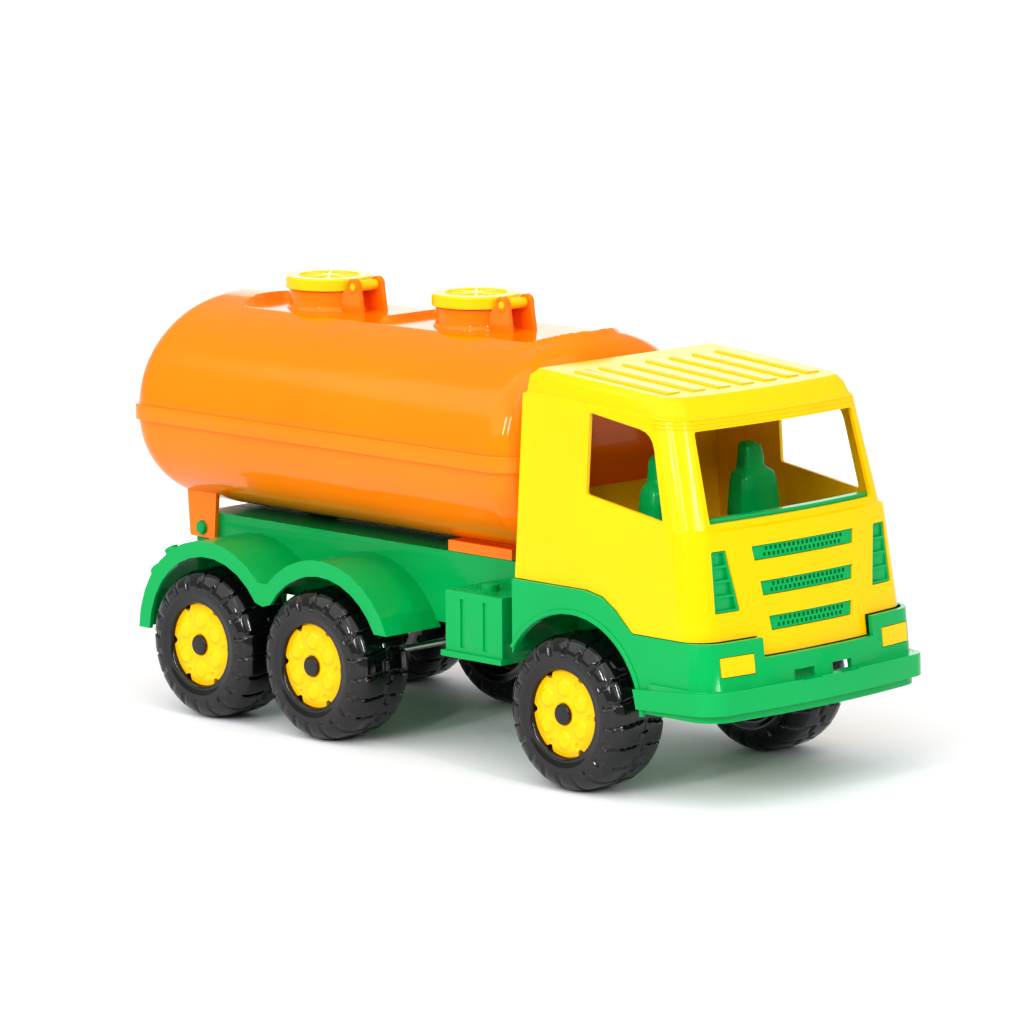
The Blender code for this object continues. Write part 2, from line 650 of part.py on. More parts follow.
def shell_rings(inset, bottom, top_drop):
    """The rings of the shell's outside, or of its inside when inset is its wall."""
    levels = [(bottom, 0.0), (CAB_BELT - inset, 0.0), (CAB_BELT + 0.0012 - inset, 0.0),
              (CAB_EAVE, 0.0), (CAB_EAVE + 0.0010, 0.0016), (CAB_ROOF - 0.0035, 0.0026),
              (CAB_ROOF - top_drop, 0.0060)]
    slopes = [0.0, 0.0, 0.0, 0.04, 0.04, 0.075, 0.08]
    rings = []
    for (height, tuck), slope in zip(levels, slopes):
        belt_front = shell_front(min(height, CAB_BELT)) if height <= CAB_BELT - inset else shell_front(
            max(height, CAB_BELT + 0.0001))
        rings.append(cab_ring(height, shell_half_width(height) - inset - tuck, belt_front - inset - tuck,
                              CAB_REAR_X + inset + tuck, slope, CAB_CORNER - inset - tuck))
    return rings


def base_top_outline(gap):
    """The side line where the shell meets the green base, seen from the side, with room above it."""
    crest = FRONT_AXLE_X + 0.008
    foot = FRONT_AXLE_X + 0.0425
    high, low = CAB_SHELL_BOTTOM + gap, SHELL_LOW_SIDE + gap
    return [(CAB_REAR_X - 0.02, high), (crest, high), (crest + 0.012, high - 0.0022),
            (crest + 0.022, high - 0.0082), (foot, low), (LIP_FRONT_X + 0.02, low)]


def below_shell(gap):
    """Bodies that fill everything under the line between shell and base, the gap included."""
    line = base_top_outline(gap)
    side_line = line + [(LIP_FRONT_X + 0.02, -0.01), (CAB_REAR_X - 0.02, -0.01)]
    notch_x = FRONT_AXLE_X + 0.0700
    middle = line[:4] + [(line[4][0], line[4][1]), (notch_x, line[4][1]),
                         (notch_x + 0.001, SHELL_LOW_FRONT + gap),
                         (LIP_FRONT_X + 0.02, SHELL_LOW_FRONT + gap),
                         (LIP_FRONT_X + 0.02, -0.01), (CAB_REAR_X - 0.02, -0.01)]
    reach = LIP_HALF_WIDTH + 0.02
    notch = FRONT_NOTCH_HALF - gap
    return [prism("under_right", side_line, "Y", -reach, -notch),
            prism("under_left", side_line, "Y", notch, reach),
            prism("under_middle", middle, "Y", -notch - 0.0005, notch + 0.0005)]


def softened(corners, radius):
    """An outline whose corners are cut by short curves that touch both sides."""
    points = []
    for i, corner in enumerate(corners):
        here, before, after = Vector(corner), Vector(corners[i - 1]), Vector(corners[(i + 1) % len(corners)])
        start = here + (before - here).normalized() * radius
        end = here + (after - here).normalized() * radius
        for part in (0, 0.25, 0.5, 0.75, 1):
            bend = start * (1 - part) ** 2 + here * 2 * part * (1 - part) + end * part ** 2
            points.append(tuple(bend))
    return points


def side_window_outline():
    """The side window: its sill rises to the rear, and its front edge leans with the pillar."""
    rear, front = FRONT_AXLE_X + WINDOW_REAR, FRONT_AXLE_X + WINDOW_FRONT
    sharp = [(rear, WINDOW_SILL_REAR), (front, WINDOW_SILL),
             (front - WINDOW_FRONT_LEAN, WINDOW_HEAD - WINDOW_FRONT_DROP), (rear, WINDOW_HEAD)]
    low = softened(sharp, WINDOW_CORNER / 2)
    high = softened(sharp, WINDOW_CORNER * 3)
    return low[:10] + high[10:15] + low[15:]


def openings_in_front(inset, low_x, high_x):
    """The grille slots and the two vents as prisms along X, made smaller all round by inset."""
    made = []
    for row in range(3):
        top = CAB_HALF_WIDTH - GRILLE_MARGIN - row * GRILLE_NARROWING - inset
        high = VENT_TOP - row * GRILLE_PITCH - inset
        low = high - GRILLE_SLOT_HEIGHT + 2 * inset
        corners = [(-top + GRILLE_TAPER, low), (top - GRILLE_TAPER, low), (top, high), (-top, high)]
        made.append(prism("slot", softened(corners, 0.0008), "X", low_x, high_x))
    outer, high, low = CAB_HALF_WIDTH - VENT_MARGIN - inset, VENT_TOP - inset, VENT_BOTTOM + inset
    for side in (-1, 1):
        corners = [(side * outer, high), (side * (outer - VENT_TOP_WIDTH + 2 * inset), high),
                   (side * (outer + VENT_LEAN - VENT_BOTTOM_WIDTH + 2 * inset), low),
                   (side * (outer + VENT_LEAN), low)]
        made.append(prism("vent", softened(corners, 0.0012), "X", low_x, high_x))
    return made


def make_cab_shell():
    """The thin yellow cab: open below, with window openings, grille slots and vents."""
    outside = mesh_from_rings("cab_shell", shell_rings(0.0, SHELL_LOW_FRONT - 0.01, 0.0))
    inside = mesh_from_rings("cab_inside", shell_rings(CAB_WALL, SHELL_LOW_FRONT - 0.02, CAB_WALL))
    side_window = prism("side_window", side_window_outline(), "Y",
                        -CAB_HALF_WIDTH - 0.01, CAB_HALF_WIDTH + 0.01)
    half = CAB_HALF_WIDTH - SCREEN_SIDE_MARGIN
    corners = [(-half, SCREEN_SILL), (half, SCREEN_SILL),
               (half - SCREEN_TAPER, SCREEN_HEAD), (-half + SCREEN_TAPER, SCREEN_HEAD)]
    screen = prism("screen", softened(corners, WINDOW_CORNER / 2), "X",
                   FRONT_AXLE_X + 0.03, LIP_FRONT_X + 0.02)
    half = CAB_HALF_WIDTH - REAR_WINDOW_MARGIN
    rear_window = block("rear_window", (CAB_REAR_X - 0.01, -half, REAR_WINDOW_SILL),
                        (CAB_REAR_X + 0.02, half, REAR_WINDOW_HEAD))
    slots = openings_in_front(0.0, FRONT_AXLE_X + 0.06, LIP_FRONT_X + 0.02)
    mesh = combined("cab_shell", outside,
                    ("DIFFERENCE", [inside, side_window, screen, rear_window] + slots),
                    ("DIFFERENCE", below_shell(0.0)))
    place("cab_shell", mesh, "yellow")


def front_slab(outer_inset, inner_inset, low, high):
    """A slab behind the shell's front face, between two depths measured from that face."""
    def layer(name, inset, bottom, top):
        return mesh_from_rings(name, [
            cab_ring(height, shell_half_width(height) - inset, shell_front(height) - inset,
                     FRONT_AXLE_X, 0.0, CAB_CORNER - inset) for height in (bottom, top)])

    half = CAB_HALF_WIDTH - 0.0085
    window = block("slab_window", (FRONT_AXLE_X + 0.02, -half, low - 0.01),
                   (LIP_FRONT_X + 0.02, half, high + 0.01))
    return combined("slab", layer("slab_outer", outer_inset, low, high),
                    ("DIFFERENCE", [layer("slab_inner", inner_inset, low - 0.01, high + 0.01)]),
                    ("INTERSECT", [window]))


def make_grille_insert():
    """The green panel behind the shell's front: it fills the slots and vents, and is the dashboard."""
    low, high = SHELL_LOW_SIDE + 0.0006, CAB_BELT - 0.0004 - CAB_WALL
    back = CAB_WALL + REST_GAP
    panel = front_slab(back, back + GRILLE_WALL, low, high)
    columns = openings_in_front(REST_GAP, FRONT_AXLE_X + 0.05, LIP_FRONT_X + 0.03)
    filling = combined("pad_columns", columns[0], ("UNION", columns[1:]))
    pads = combined("pads", front_slab(GRILLE_RECESS, back + GRILLE_WALL / 2, low - 0.01, high),
                    ("INTERSECT", [filling]))
    half = CAB_HALF_WIDTH - DASH_MARGIN
    dash_rear, dash_top = FRONT_AXLE_X + CAB_SHELL_FRONT - DASH_DEPTH, SCREEN_SILL + DASH_ABOVE_SILL
    step_front = shell_front(dash_top) - back
    panel_front = shell_front(CAB_BELT) - back - GRILLE_WALL / 2

    def layer(name, rear_edge, front_edge, low_z, high_z):
        """A plate whose front edge follows the bow of the shell; so does its rear, unless it is straight."""
        across = [half * part / 4 for part in range(-4, 5)]
        front = [(front_edge - CAB_BOW * y * y, y) for y in across]
        if rear_edge is None:
            return prism(name, front + [(dash_rear, half), (dash_rear, -half)], "Z", low_z, high_z)
        rear = [(rear_edge - CAB_BOW * y * y, y) for y in across[::-1]]
        return prism(name, front + rear, "Z", low_z, high_z)

    shelf = layer("shelf", step_front - GRILLE_WALL, panel_front, high - GRILLE_WALL, high)
    step = layer("dash_step", step_front - GRILLE_WALL, step_front, high - GRILLE_WALL / 2, dash_top)
    top = layer("dash_top", None, step_front - 0.0002, dash_top - GRILLE_WALL, dash_top)
    mesh = combined("dash_grille", panel, ("UNION", [pads, shelf]), ("UNION", [step]), ("UNION", [top]))
    place("dash_grille_panel", mesh, "green")


def base_front(height):
    """How far forward the base's middle line is at a height."""
    return FRONT_AXLE_X + BASE_FRONT + (BASE_FRONT_LEVEL - height) * BASE_LEAN


def base_rings(inset, proud, levels):
    rings = []
    for height, slope in levels:
        front = base_front(height) + proud - inset
        rings.append(cab_ring(height, BASE_HALF_WIDTH + proud - inset, front,
                              CAB_REAR_X + inset, slope, CAB_CORNER - inset))
    return rings


def make_cab_base():
    """The green lower cab: wheel arches, headlamp corners, bumper and the cab's floor."""
    body = mesh_from_rings("base", base_rings(0.0, 0.0, [(LIP_BOTTOM + 0.002, 0), (CAB_SHELL_BOTTOM, 0)]))
    lip_front = LIP_FRONT_X
    lip = mesh_from_rings("bumper_lip", [
        cab_ring(LIP_BOTTOM + 0.002, LIP_HALF_WIDTH, lip_front, FRONT_AXLE_X + LIP_BACK, LIP_UNDER_SLOPE),
        cab_ring(LIP_TOP, LIP_HALF_WIDTH, lip_front - 0.0004, FRONT_AXLE_X + LIP_BACK, LIP_TOP_SLOPE)])
    lower = mesh_from_rings("base_under", base_rings(BASE_WALL, 0.0, [
        (LIP_BOTTOM - 0.02, 0), (CAB_FLOOR_TOP - CAB_FLOOR_THICKNESS, 0)]))
    upper = mesh_from_rings("base_over", base_rings(BASE_WALL, 0.0, [
        (CAB_FLOOR_TOP, 0), (CAB_SHELL_BOTTOM + 0.02, 0)]))
    pan = block("front_pan", (FRONT_AXLE_X + LEDGE_BACK, -CAB_HALF_WIDTH, LEDGE_TOP), (
        LIP_FRONT_X, CAB_HALF_WIDTH, CAB_FLOOR_TOP + 0.03))
    reach = LIP_HALF_WIDTH + 0.02
    arch = turned("arch", [(0, -reach), (ARCH_RADIUS, -reach), (ARCH_RADIUS, reach), (0, reach)],
                  40, "Y", (FRONT_AXLE_X - ARCH_BACK, 0, WHEEL_RADIUS + ARCH_RISE))
    under_arch = block("under_arch", (FRONT_AXLE_X - ARCH_BACK - ARCH_RADIUS - 0.0002, -reach, -0.01),
                       (FRONT_AXLE_X - ARCH_BACK + ARCH_RADIUS, reach, WHEEL_RADIUS + ARCH_RISE))
    short_foot = block("short_foot", (CAB_REAR_X - 0.02, -reach, 0.0), (
        FRONT_AXLE_X, reach, LIP_TOP))
    notch = block("neck_notch", (CAB_REAR_X - 0.01, -NECK_HALF_WIDTH - SLIP_GAP, 0.0),
                  (CAB_REAR_X + 0.02, NECK_HALF_WIDTH + SLIP_GAP, DECK_TOP - NECK_DROP + SLIP_GAP))
    holes = [tow_slot(side) for side in (-1, 1)]
    pockets = [lens_block(side, REST_GAP, 0.0060) for side in (-1, 1)]
    keep = combined("keep", below_shell(-REST_GAP)[0], ("UNION", below_shell(-REST_GAP)[1:]))
    screw_holes = [screw_hole(x, y) for x, y in SCREW_PLACES]
    ledge = combined("ledge", mesh_from_rings("ledge_body", base_rings(0.0, 0.0, [
        (LEDGE_TOP - BASE_WALL, 0), (LEDGE_TOP, 0)])), ("DIFFERENCE", [block(
            "ledge_cut", (CAB_REAR_X - 0.02, -reach, 0),
            (FRONT_AXLE_X + LEDGE_BACK + BASE_WALL, reach, 0.2))]))
    mesh = combined("cab_base", body, ("UNION", [lip, corner_lips()]), ("DIFFERENCE", [lower, upper]),
                    ("UNION", [ledge]), ("DIFFERENCE", [pan_cut(pan)]),
                    ("DIFFERENCE", [arch, under_arch, short_foot, notch] + holes + pockets),
                    ("INTERSECT", [keep]), ("DIFFERENCE", screw_holes))
    place("cab_base", mesh, "green")


def tow_slot(side):
    near, far = sorted((side * TOW_SLOT_INNER, side * TOW_SLOT_OUTER))
    return block("tow_slot", (FRONT_AXLE_X + LEDGE_BACK + 0.025, near, TOW_SLOT_BOTTOM),
                 (LIP_FRONT_X + 0.01, far, TOW_SLOT_TOP))


def corner_lips():
    """The raised corners of the bumper, outside its lower middle stretch."""
    ring = mesh_from_rings("corner_lip", base_rings(0.0, CORNER_LIP_PROUD, [
        (LIP_TOP - 0.001, 0), (CORNER_LIP_TOP, 0)]))
    middle = block("lip_middle", (FRONT_AXLE_X, -CORNER_LIP_INNER, 0),
                   (LIP_FRONT_X + 0.02, CORNER_LIP_INNER, 0.2))
    rear = block("lip_rear", (CAB_REAR_X - 0.02, -0.1, 0), (FRONT_AXLE_X + LEDGE_BACK + 0.001, 0.1, 0.2))
    return combined("corner_lips", ring, ("DIFFERENCE", [middle, rear]))


def pan_cut(pan):
    """The space over the front ledge, inside the base's wall."""
    room = mesh_from_rings("pan_room", base_rings(BASE_WALL, 0.0, [
        (LEDGE_TOP, 0), (CAB_SHELL_BOTTOM + 0.02, 0)]))
    return combined("pan_space", room, ("INTERSECT", [pan]))


def lens_block(side, grow, depth):
    """The space of a headlamp lens, or of its pocket when grown."""
    half = LAMP_LENS_WIDTH / 2 + grow
    tall = LAMP_LENS_HEIGHT / 2 + grow
    rings = []
    for height in (LAMP_LENS_Z - tall, LAMP_LENS_Z + tall):
        front = base_front(height) + LENS_PROUD
        ring = []
        for part in (-1, -0.33, 0.33, 1):
            y = side * LAMP_LENS_Y + part * half
            ring.append(Vector((front - CAB_BOW * y * y, y, height)))
        for part in (1, -1):
            y = side * LAMP_LENS_Y + part * half
            ring.append(Vector((front - CAB_BOW * (LAMP_LENS_Y + half) ** 2 - depth, y, height)))
        rings.append(ring)
    return mesh_from_rings("lens", rings)


def make_headlamps():
    for side, word in ((-1, "right"), (1, "left")):
        place(f"headlamp_{word}", lens_block(side, 0.0, 0.0015), "yellow")


def make_seats():
    """Two moulded seats with headrests on one bench."""
    floor = CAB_FLOOR_TOP + REST_GAP
    rear = FRONT_AXLE_X + SEAT_BACK_AHEAD_OF_AXLE - SEAT_BACK_DEPTH / 2
    half_bench = (SEAT_SPACING + SEAT_WIDTH) / 2
    bench = block("seats", (rear, -half_bench, floor), (rear + BENCH_LENGTH, half_bench, floor + BENCH_HEIGHT))
    hollow = block("bench_hollow", (rear + CAB_WALL, -half_bench + CAB_WALL, floor - 0.01),
                   (rear + BENCH_LENGTH - CAB_WALL, half_bench - CAB_WALL, floor + BENCH_HEIGHT - CAB_WALL))
    backs = []
    for side in (-1, 1):
        middle = side * SEAT_SPACING / 2
        rise = floor + SEAT_BACK_HEIGHT
        half = SEAT_WIDTH / 2
        shoulder, head = half * SEAT_SHOULDER_SHARE, half * HEADREST_SHARE
        right = [(half, floor + BENCH_HEIGHT - 0.005), (shoulder, rise - SEAT_SHOULDER_DROP),
                 (head, rise - HEADREST_HEIGHT), (head * 0.9, rise - 0.003), (head / 2, rise)]
        outline = [(middle + y, z) for y, z in right] + [(middle - y, z) for y, z in right[::-1]]
        backs.append(prism("seat_back", outline, "X", rear + 0.0005, rear + SEAT_BACK_DEPTH))
    mesh = combined("seats", bench, ("DIFFERENCE", [hollow]), ("UNION", backs))
    place("seats", mesh, "green")


# ---------------------------------------------------------------- tank

def section_ring(x, half_width, top, bottom, low_angle, high_angle, steps):
    """An open run of the tank's cross-section: a superellipse about the seam height."""
    points = []
    for k in range(steps + 1):
        angle = math.radians(low_angle + (high_angle - low_angle) * k / steps)
        cosine, sine = math.cos(angle), math.sin(angle)
        tall = top - TANK_SEAM if sine >= 0 else TANK_SEAM - bottom
        power = 2 / TANK_ROUNDNESS
        y = half_width * math.copysign(abs(cosine) ** power, cosine)
        z = TANK_SEAM + tall * math.copysign(abs(sine) ** power, sine)
        points.append(Vector((x, y, z)))
    return points


def tank_rings(inset, upper):
    """Half rings along the tank, rounded at both ends, for its upper or its lower half."""
    low_angle, high_angle = (0, 180) if upper else (180, 360)
    ends = [0.0, 12.0, 30.0, 52.0, 90.0]
    corner = TANK_CORNER - inset
    places = []
    for angle in ends:
        turn = math.radians(angle)
        places.append((TANK_REAR_X + inset + corner * (1 - math.sin(turn)), corner * (1 - math.cos(turn))))
    places = places[::-1]
    rear = places
    front = [(TANK_REAR_X + TANK_FRONT_X - x, tuck) for x, tuck in reversed(places)]
    rings = []
    for x, tuck in rear + front:
        shrink = inset + tuck
        rings.append(section_ring(x, TANK_HALF_WIDTH - shrink, TANK_TOP - shrink, TANK_BOTTOM + shrink,
                                  low_angle, high_angle, 20))
    return rings


def band_outline(proud, length_trim):
    """The level outline of the tank at its seam, with rounded corners."""
    corner = TANK_CORNER
    half = TANK_HALF_WIDTH + proud
    front, rear = TANK_FRONT_X + proud - length_trim, TANK_REAR_X - proud + length_trim
    points = []
    points += arc((front - corner, half - corner), corner, 90, 0, 5)
    points += arc((front - corner, -half + corner), corner, 0, -90, 5)
    points += arc((rear + corner, -half + corner), corner, 270, 180, 5)
    points += arc((rear + corner, half - corner), corner, 180, 90, 5)
    return points[::-1]


def make_tank_upper():
    """The upper half of the tank: seam band, sunk tray, two hatch necks and their hinge ears."""
    outside = mesh_from_rings("tank_upper_shell", tank_rings(0.0, True))
    inside = mesh_from_rings("tank_upper_inside", tank_rings(TANK_WALL, True))
    core = prism("band_core", band_outline(-TANK_WALL, 0.0), "Z", TANK_SEAM - 0.02, TANK_SEAM + 0.02)
    band = combined("band", prism("band", band_outline(BAND_PROUD, BAND_TRIM), "Z",
                                  TANK_SEAM - BAND_BELOW, TANK_SEAM + BAND_ABOVE), ("DIFFERENCE", [core]))
    socket = prism("band_socket", band_outline(REST_GAP, 0.0), "Z", TANK_SEAM - 0.02, TANK_SEAM + REST_GAP)
    rear, front = TANK_REAR_X + TRAY_MARGIN, TANK_FRONT_X - TRAY_MARGIN * 0.7
    tray_floor_under = TRAY_FLOOR - TANK_WALL
    plug = block("tray_plug", (rear - TANK_WALL, -TRAY_HALF_WIDTH, tray_floor_under - 0.0004),
                 (front + TANK_WALL, TRAY_HALF_WIDTH, TANK_TOP - TANK_WALL / 2))
    plug = combined("plug", plug, ("INTERSECT", [mesh_from_rings("plug_limit", tank_rings(0.0002, True))]))
    tray = block("tray", (rear, -TRAY_HALF_WIDTH, TRAY_FLOOR), (front, TRAY_HALF_WIDTH, TANK_TOP + 0.01))
    rib_x = TANK_MIDDLE_X + 0.0080
    rib = block("rib", (rib_x - RIB_WIDTH / 2, -0.0220, TRAY_FLOOR - 0.001),
                (rib_x + RIB_WIDTH / 2, 0.0220, TANK_TOP - 0.0012))
    necks, bores, ears, pin_holes = [], [], [], []
    for x in HATCH_X.values():
        necks.append(turned("neck", [(0, TRAY_FLOOR - 0.001), (NECK_RADIUS, TRAY_FLOOR - 0.001),
                                     (NECK_RADIUS, NECK_RIM), (0, NECK_RIM)], LID_SIDES, "Z", (x, 0, 0)))
        radius = NECK_RADIUS - NECK_WALL
        bores.append(turned("neck_bore", [(0, TRAY_FLOOR - 0.02), (radius, TRAY_FLOOR - 0.02),
                                          (radius, NECK_RIM + 0.01), (0, NECK_RIM + 0.01)],
                            LID_SIDES, "Z", (x, 0, 0)))
        pin_x = x + EAR_REACH
        for side in (-1, 1):
            low, high = sorted((side * EAR_SPACING / 2 - EAR_THICKNESS / 2,
                                side * EAR_SPACING / 2 + EAR_THICKNESS / 2))
            radius = EAR_LENGTH * EAR_ROUND_SHARE
            outline = [(x + NECK_RADIUS * 0.88, TRAY_FLOOR - 0.001)]
            outline += [(pin_x + EAR_LENGTH * EAR_FOOT_SHARE, TRAY_FLOOR - 0.001)]
            outline += arc((pin_x, PIN_Z), radius, -10, 190, 8)
            outline += [(pin_x - radius, NECK_RIM - 0.001), (x + NECK_RADIUS * 0.88, NECK_RIM - 0.001)]
            ears.append(prism("ear", outline, "Y", low, high))
        radius = PIN_RADIUS + PIVOT_GAP
        pin_holes.append(turned("pin_hole", [(0, -EAR_SPACING), (radius, -EAR_SPACING),
                                             (radius, EAR_SPACING), (0, EAR_SPACING)],
                                12, "Y", (pin_x, 0, PIN_Z)))
    mesh = combined("tank_upper", outside, ("DIFFERENCE", [inside]), ("UNION", [band, plug]),
                    ("DIFFERENCE", [tray]), ("UNION", [rib] + necks + ears),
                    ("DIFFERENCE", bores + pin_holes + [socket]))
    place("tank_upper_shell", mesh, "orange")


def make_tank_lower():
    """The lower half of the tank: belly, two pivot legs at the rear and a foot across the front."""
    seam = TANK_SEAM - REST_GAP
    outside = mesh_from_rings("tank_lower_shell", tank_rings(0.0, False))
    inside = mesh_from_rings("tank_lower_inside", tank_rings(TANK_WALL, False))
    over = block("over_seam", (TANK_REAR_X - 0.02, -0.1, seam), (TANK_FRONT_X + 0.02, 0.1, seam + 0.1))
    legs, holes = [], []
    inner = DECK_HALF_WIDTH + SLIP_GAP
    for side in (-1, 1):
        low, high = sorted((side * inner, side * (inner + LEG_THICKNESS)))
        bottom, leg_top = LEG_LENGTH * LEG_FOOT_SHARE, TANK_SEAM - LEG_TOP_BELOW_SEAM
        outline = [(PIVOT_X - bottom, LEG_BOTTOM), (PIVOT_X + bottom, LEG_BOTTOM),
                   (PIVOT_X + LEG_LENGTH / 2, leg_top), (PIVOT_X - LEG_LENGTH / 2, leg_top)]
        legs.append(prism("leg", outline, "Y", low, high))
        radius = PIVOT_RADIUS + PIVOT_GAP
        ends = sorted((side * (inner - 0.01), side * (inner + 0.02)))
        holes.append(turned("leg_hole", [(0, ends[0]), (radius, ends[0]), (radius, ends[1]), (0, ends[1])],
                            16, "Y", (PIVOT_X, 0, PIVOT_HEIGHT)))
    foot_front = TANK_FRONT_X - FOOT_SETBACK
    foot = block("foot", (foot_front - FOOT_LENGTH, -DECK_HALF_WIDTH, DECK_TOP + REST_GAP),
                 (foot_front, DECK_HALF_WIDTH, DECK_TOP + REST_GAP + FOOT_THICKNESS))
    riser_half = DECK_HALF_WIDTH - FOOT_RISER_INSET
    foot_top = DECK_TOP + REST_GAP + FOOT_THICKNESS
    riser = block("riser", (foot_front - FOOT_LENGTH + 0.002, -riser_half, foot_top - FOOT_THICKNESS / 2),
                  (foot_front - 0.002, riser_half, foot_top + FOOT_RISER_HEIGHT))
    mesh = combined("tank_lower", outside, ("UNION", legs + [foot, riser]), ("DIFFERENCE", [inside, over]),
                    ("DIFFERENCE", holes))
    place("tank_lower_shell", mesh, "orange")


def make_lid(word, x):
    """A yellow hatch lid: a disc with a spigot in the neck, and a knuckle with its pin."""
    pin_x = x + EAR_REACH
    low = NECK_RIM + REST_GAP
    high = low + LID_THICKNESS
    spigot = NECK_RADIUS - NECK_WALL - SLIP_GAP * 1.6
    profile = [(0, low - 0.0020), (spigot - 0.002, low - 0.0020), (spigot, low), (LID_RADIUS, low),
               (LID_RADIUS, high - 0.0012), (LID_RADIUS - 0.0012, high), (0, high)]
    disc = turned("lid", profile, LID_SIDES, "Z", (x, 0, 0))
    inner = EAR_SPACING / 2 - EAR_THICKNESS / 2 - SLIP_GAP
    arm = block("lid_arm", (x + LID_RADIUS - 0.004, -inner, PIN_Z - 0.0018), (pin_x, inner, PIN_Z + 0.0018))
    knuckle = turned("knuckle", [(0, -inner), (PIN_RADIUS + 0.0008, -inner), (PIN_RADIUS + 0.0008, inner),
                                 (0, inner)], 12, "Y", (pin_x, 0, PIN_Z))
    reach = EAR_SPACING / 2 + EAR_THICKNESS / 2
    pin = turned("pin", [(0, -reach), (PIN_RADIUS, -reach), (PIN_RADIUS, reach), (0, reach)],
                 12, "Y", (pin_x, 0, PIN_Z))
    ear_room = []
    for side in (-1, 1):
        ends = sorted((side * (EAR_SPACING / 2 - EAR_THICKNESS / 2 - SLIP_GAP),
                       side * (EAR_SPACING / 2 + EAR_THICKNESS / 2 + SLIP_GAP)))
        edge = EAR_LENGTH * EAR_ROUND_SHARE + SLIP_GAP
        ear_room.append(block("ear_room", (pin_x - edge, ends[0], low - 0.01),
                              (pin_x + 0.02, ends[1], high + 0.01)))
    mesh = combined(word + "_lid", disc, ("DIFFERENCE", ear_room), ("UNION", [arm, knuckle, pin]))
    line = bpy.data.objects.new(word + "_lid_hinge_line", None)
    line.location = (pin_x, 0, PIN_Z)
    bpy.context.scene.collection.objects.link(line)
    for vertex in mesh.vertices:
        vertex.co -= line.location
    lid = place("hatch_lid_" + word, mesh, "yellow")
    lid.parent = line


def main():
    clear_scene()
    make_axle_set("front", FRONT_AXLE_X)
    make_axle_set("middle", MIDDLE_AXLE_X)
    make_axle_set("rear", REAR_AXLE_X)
    make_chassis()
    make_screws()
    make_cab_base()
    make_cab_shell()
    make_grille_insert()
    make_headlamps()
    make_seats()
    make_tank_upper()
    make_tank_lower()
    for word, x in HATCH_X.items():
        make_lid(word, x)


main()
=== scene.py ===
# %% [markdown]
# # A toy tanker truck in moulded plastic
#
# This lesson dresses a toy tanker truck: yellow cab, green chassis, orange tank, six black wheels.
# The real toy is a handful of glossy mouldings that snap together round three steel axles.
# The first cell loads the engineering model as a fixed frame, so each finer piece below is made
# in place and rides on one of its bodies.

# %% The fixed frame
import json
import math

import bmesh
import bpy
import numpy as np
from mathutils import Matrix, Vector


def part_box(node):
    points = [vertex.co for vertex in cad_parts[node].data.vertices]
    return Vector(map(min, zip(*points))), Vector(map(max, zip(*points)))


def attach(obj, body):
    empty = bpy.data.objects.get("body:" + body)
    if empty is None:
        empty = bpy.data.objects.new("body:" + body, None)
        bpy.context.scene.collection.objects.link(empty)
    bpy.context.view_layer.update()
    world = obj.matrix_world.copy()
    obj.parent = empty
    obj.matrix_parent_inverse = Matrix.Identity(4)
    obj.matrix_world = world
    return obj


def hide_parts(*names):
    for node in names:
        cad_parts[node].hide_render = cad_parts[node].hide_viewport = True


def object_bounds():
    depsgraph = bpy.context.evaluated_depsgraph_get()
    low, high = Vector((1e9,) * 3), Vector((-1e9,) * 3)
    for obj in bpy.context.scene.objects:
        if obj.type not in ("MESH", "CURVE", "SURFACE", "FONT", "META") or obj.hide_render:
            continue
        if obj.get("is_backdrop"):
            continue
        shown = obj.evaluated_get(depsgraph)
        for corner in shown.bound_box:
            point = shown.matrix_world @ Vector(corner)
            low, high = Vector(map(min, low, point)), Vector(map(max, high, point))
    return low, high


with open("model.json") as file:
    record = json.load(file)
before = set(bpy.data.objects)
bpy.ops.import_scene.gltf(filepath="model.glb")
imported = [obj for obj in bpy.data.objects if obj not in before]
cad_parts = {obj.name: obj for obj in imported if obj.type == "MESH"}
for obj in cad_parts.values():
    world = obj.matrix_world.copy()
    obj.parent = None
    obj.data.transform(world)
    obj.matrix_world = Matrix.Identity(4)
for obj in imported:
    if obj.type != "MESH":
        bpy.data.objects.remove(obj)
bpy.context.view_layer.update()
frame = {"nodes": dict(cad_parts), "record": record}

# %% [markdown]
# ## Surfaces from arrays
#
# Every new shape is a grid of points worked out with whole arrays: a profile carried round an
# axis, an outline carried along a line, or a height over a plan. A grid needs only one rule for
# its faces, so one helper serves them all. Edges that a mould would round get a Bevel modifier.

# %% Faces of a grid
def grid(points, wrap_rows=False, wrap_columns=False):
    """(points, faces) of a grid: point (i, j) joins (i+1, j), (i+1, j+1) and (i, j+1)."""
    rows, columns = points.shape[:2]
    i, j = np.meshgrid(np.arange(rows if wrap_rows else rows - 1),
                       np.arange(columns if wrap_columns else columns - 1), indexing="ij")
    after_i, after_j = (i + 1) % rows, (j + 1) % columns
    quads = np.stack([i * columns + j, after_i * columns + j,
                      after_i * columns + after_j, i * columns + after_j], -1)
    return points.reshape(-1, 3), quads.reshape(-1, 4)


def on_axes(along, first, second, axis):
    """Points whose value along one axis and two across it are given."""
    order = {"X": (along, first, second), "Y": (first, along, second), "Z": (first, second, along)}
    return np.stack(np.broadcast_arrays(*order[axis]), -1)


def turned(profile, centre, axis="Z", sides=64):
    """A profile of (radius, height) turned about an axis: height + radius * (cos, sin).

    A profile that starts on the axis is closed at its two poles; any other is closed on itself.
    """
    profile = np.array(profile, float)
    angle = np.linspace(0, 2 * np.pi, sides, endpoint=False)
    radius, height = profile[:, :1], profile[:, 1:]
    points = on_axes(height + 0 * angle, radius * np.cos(angle), radius * np.sin(angle), axis)
    return grid(points + np.array(centre), profile[0, 0] > 0, True)


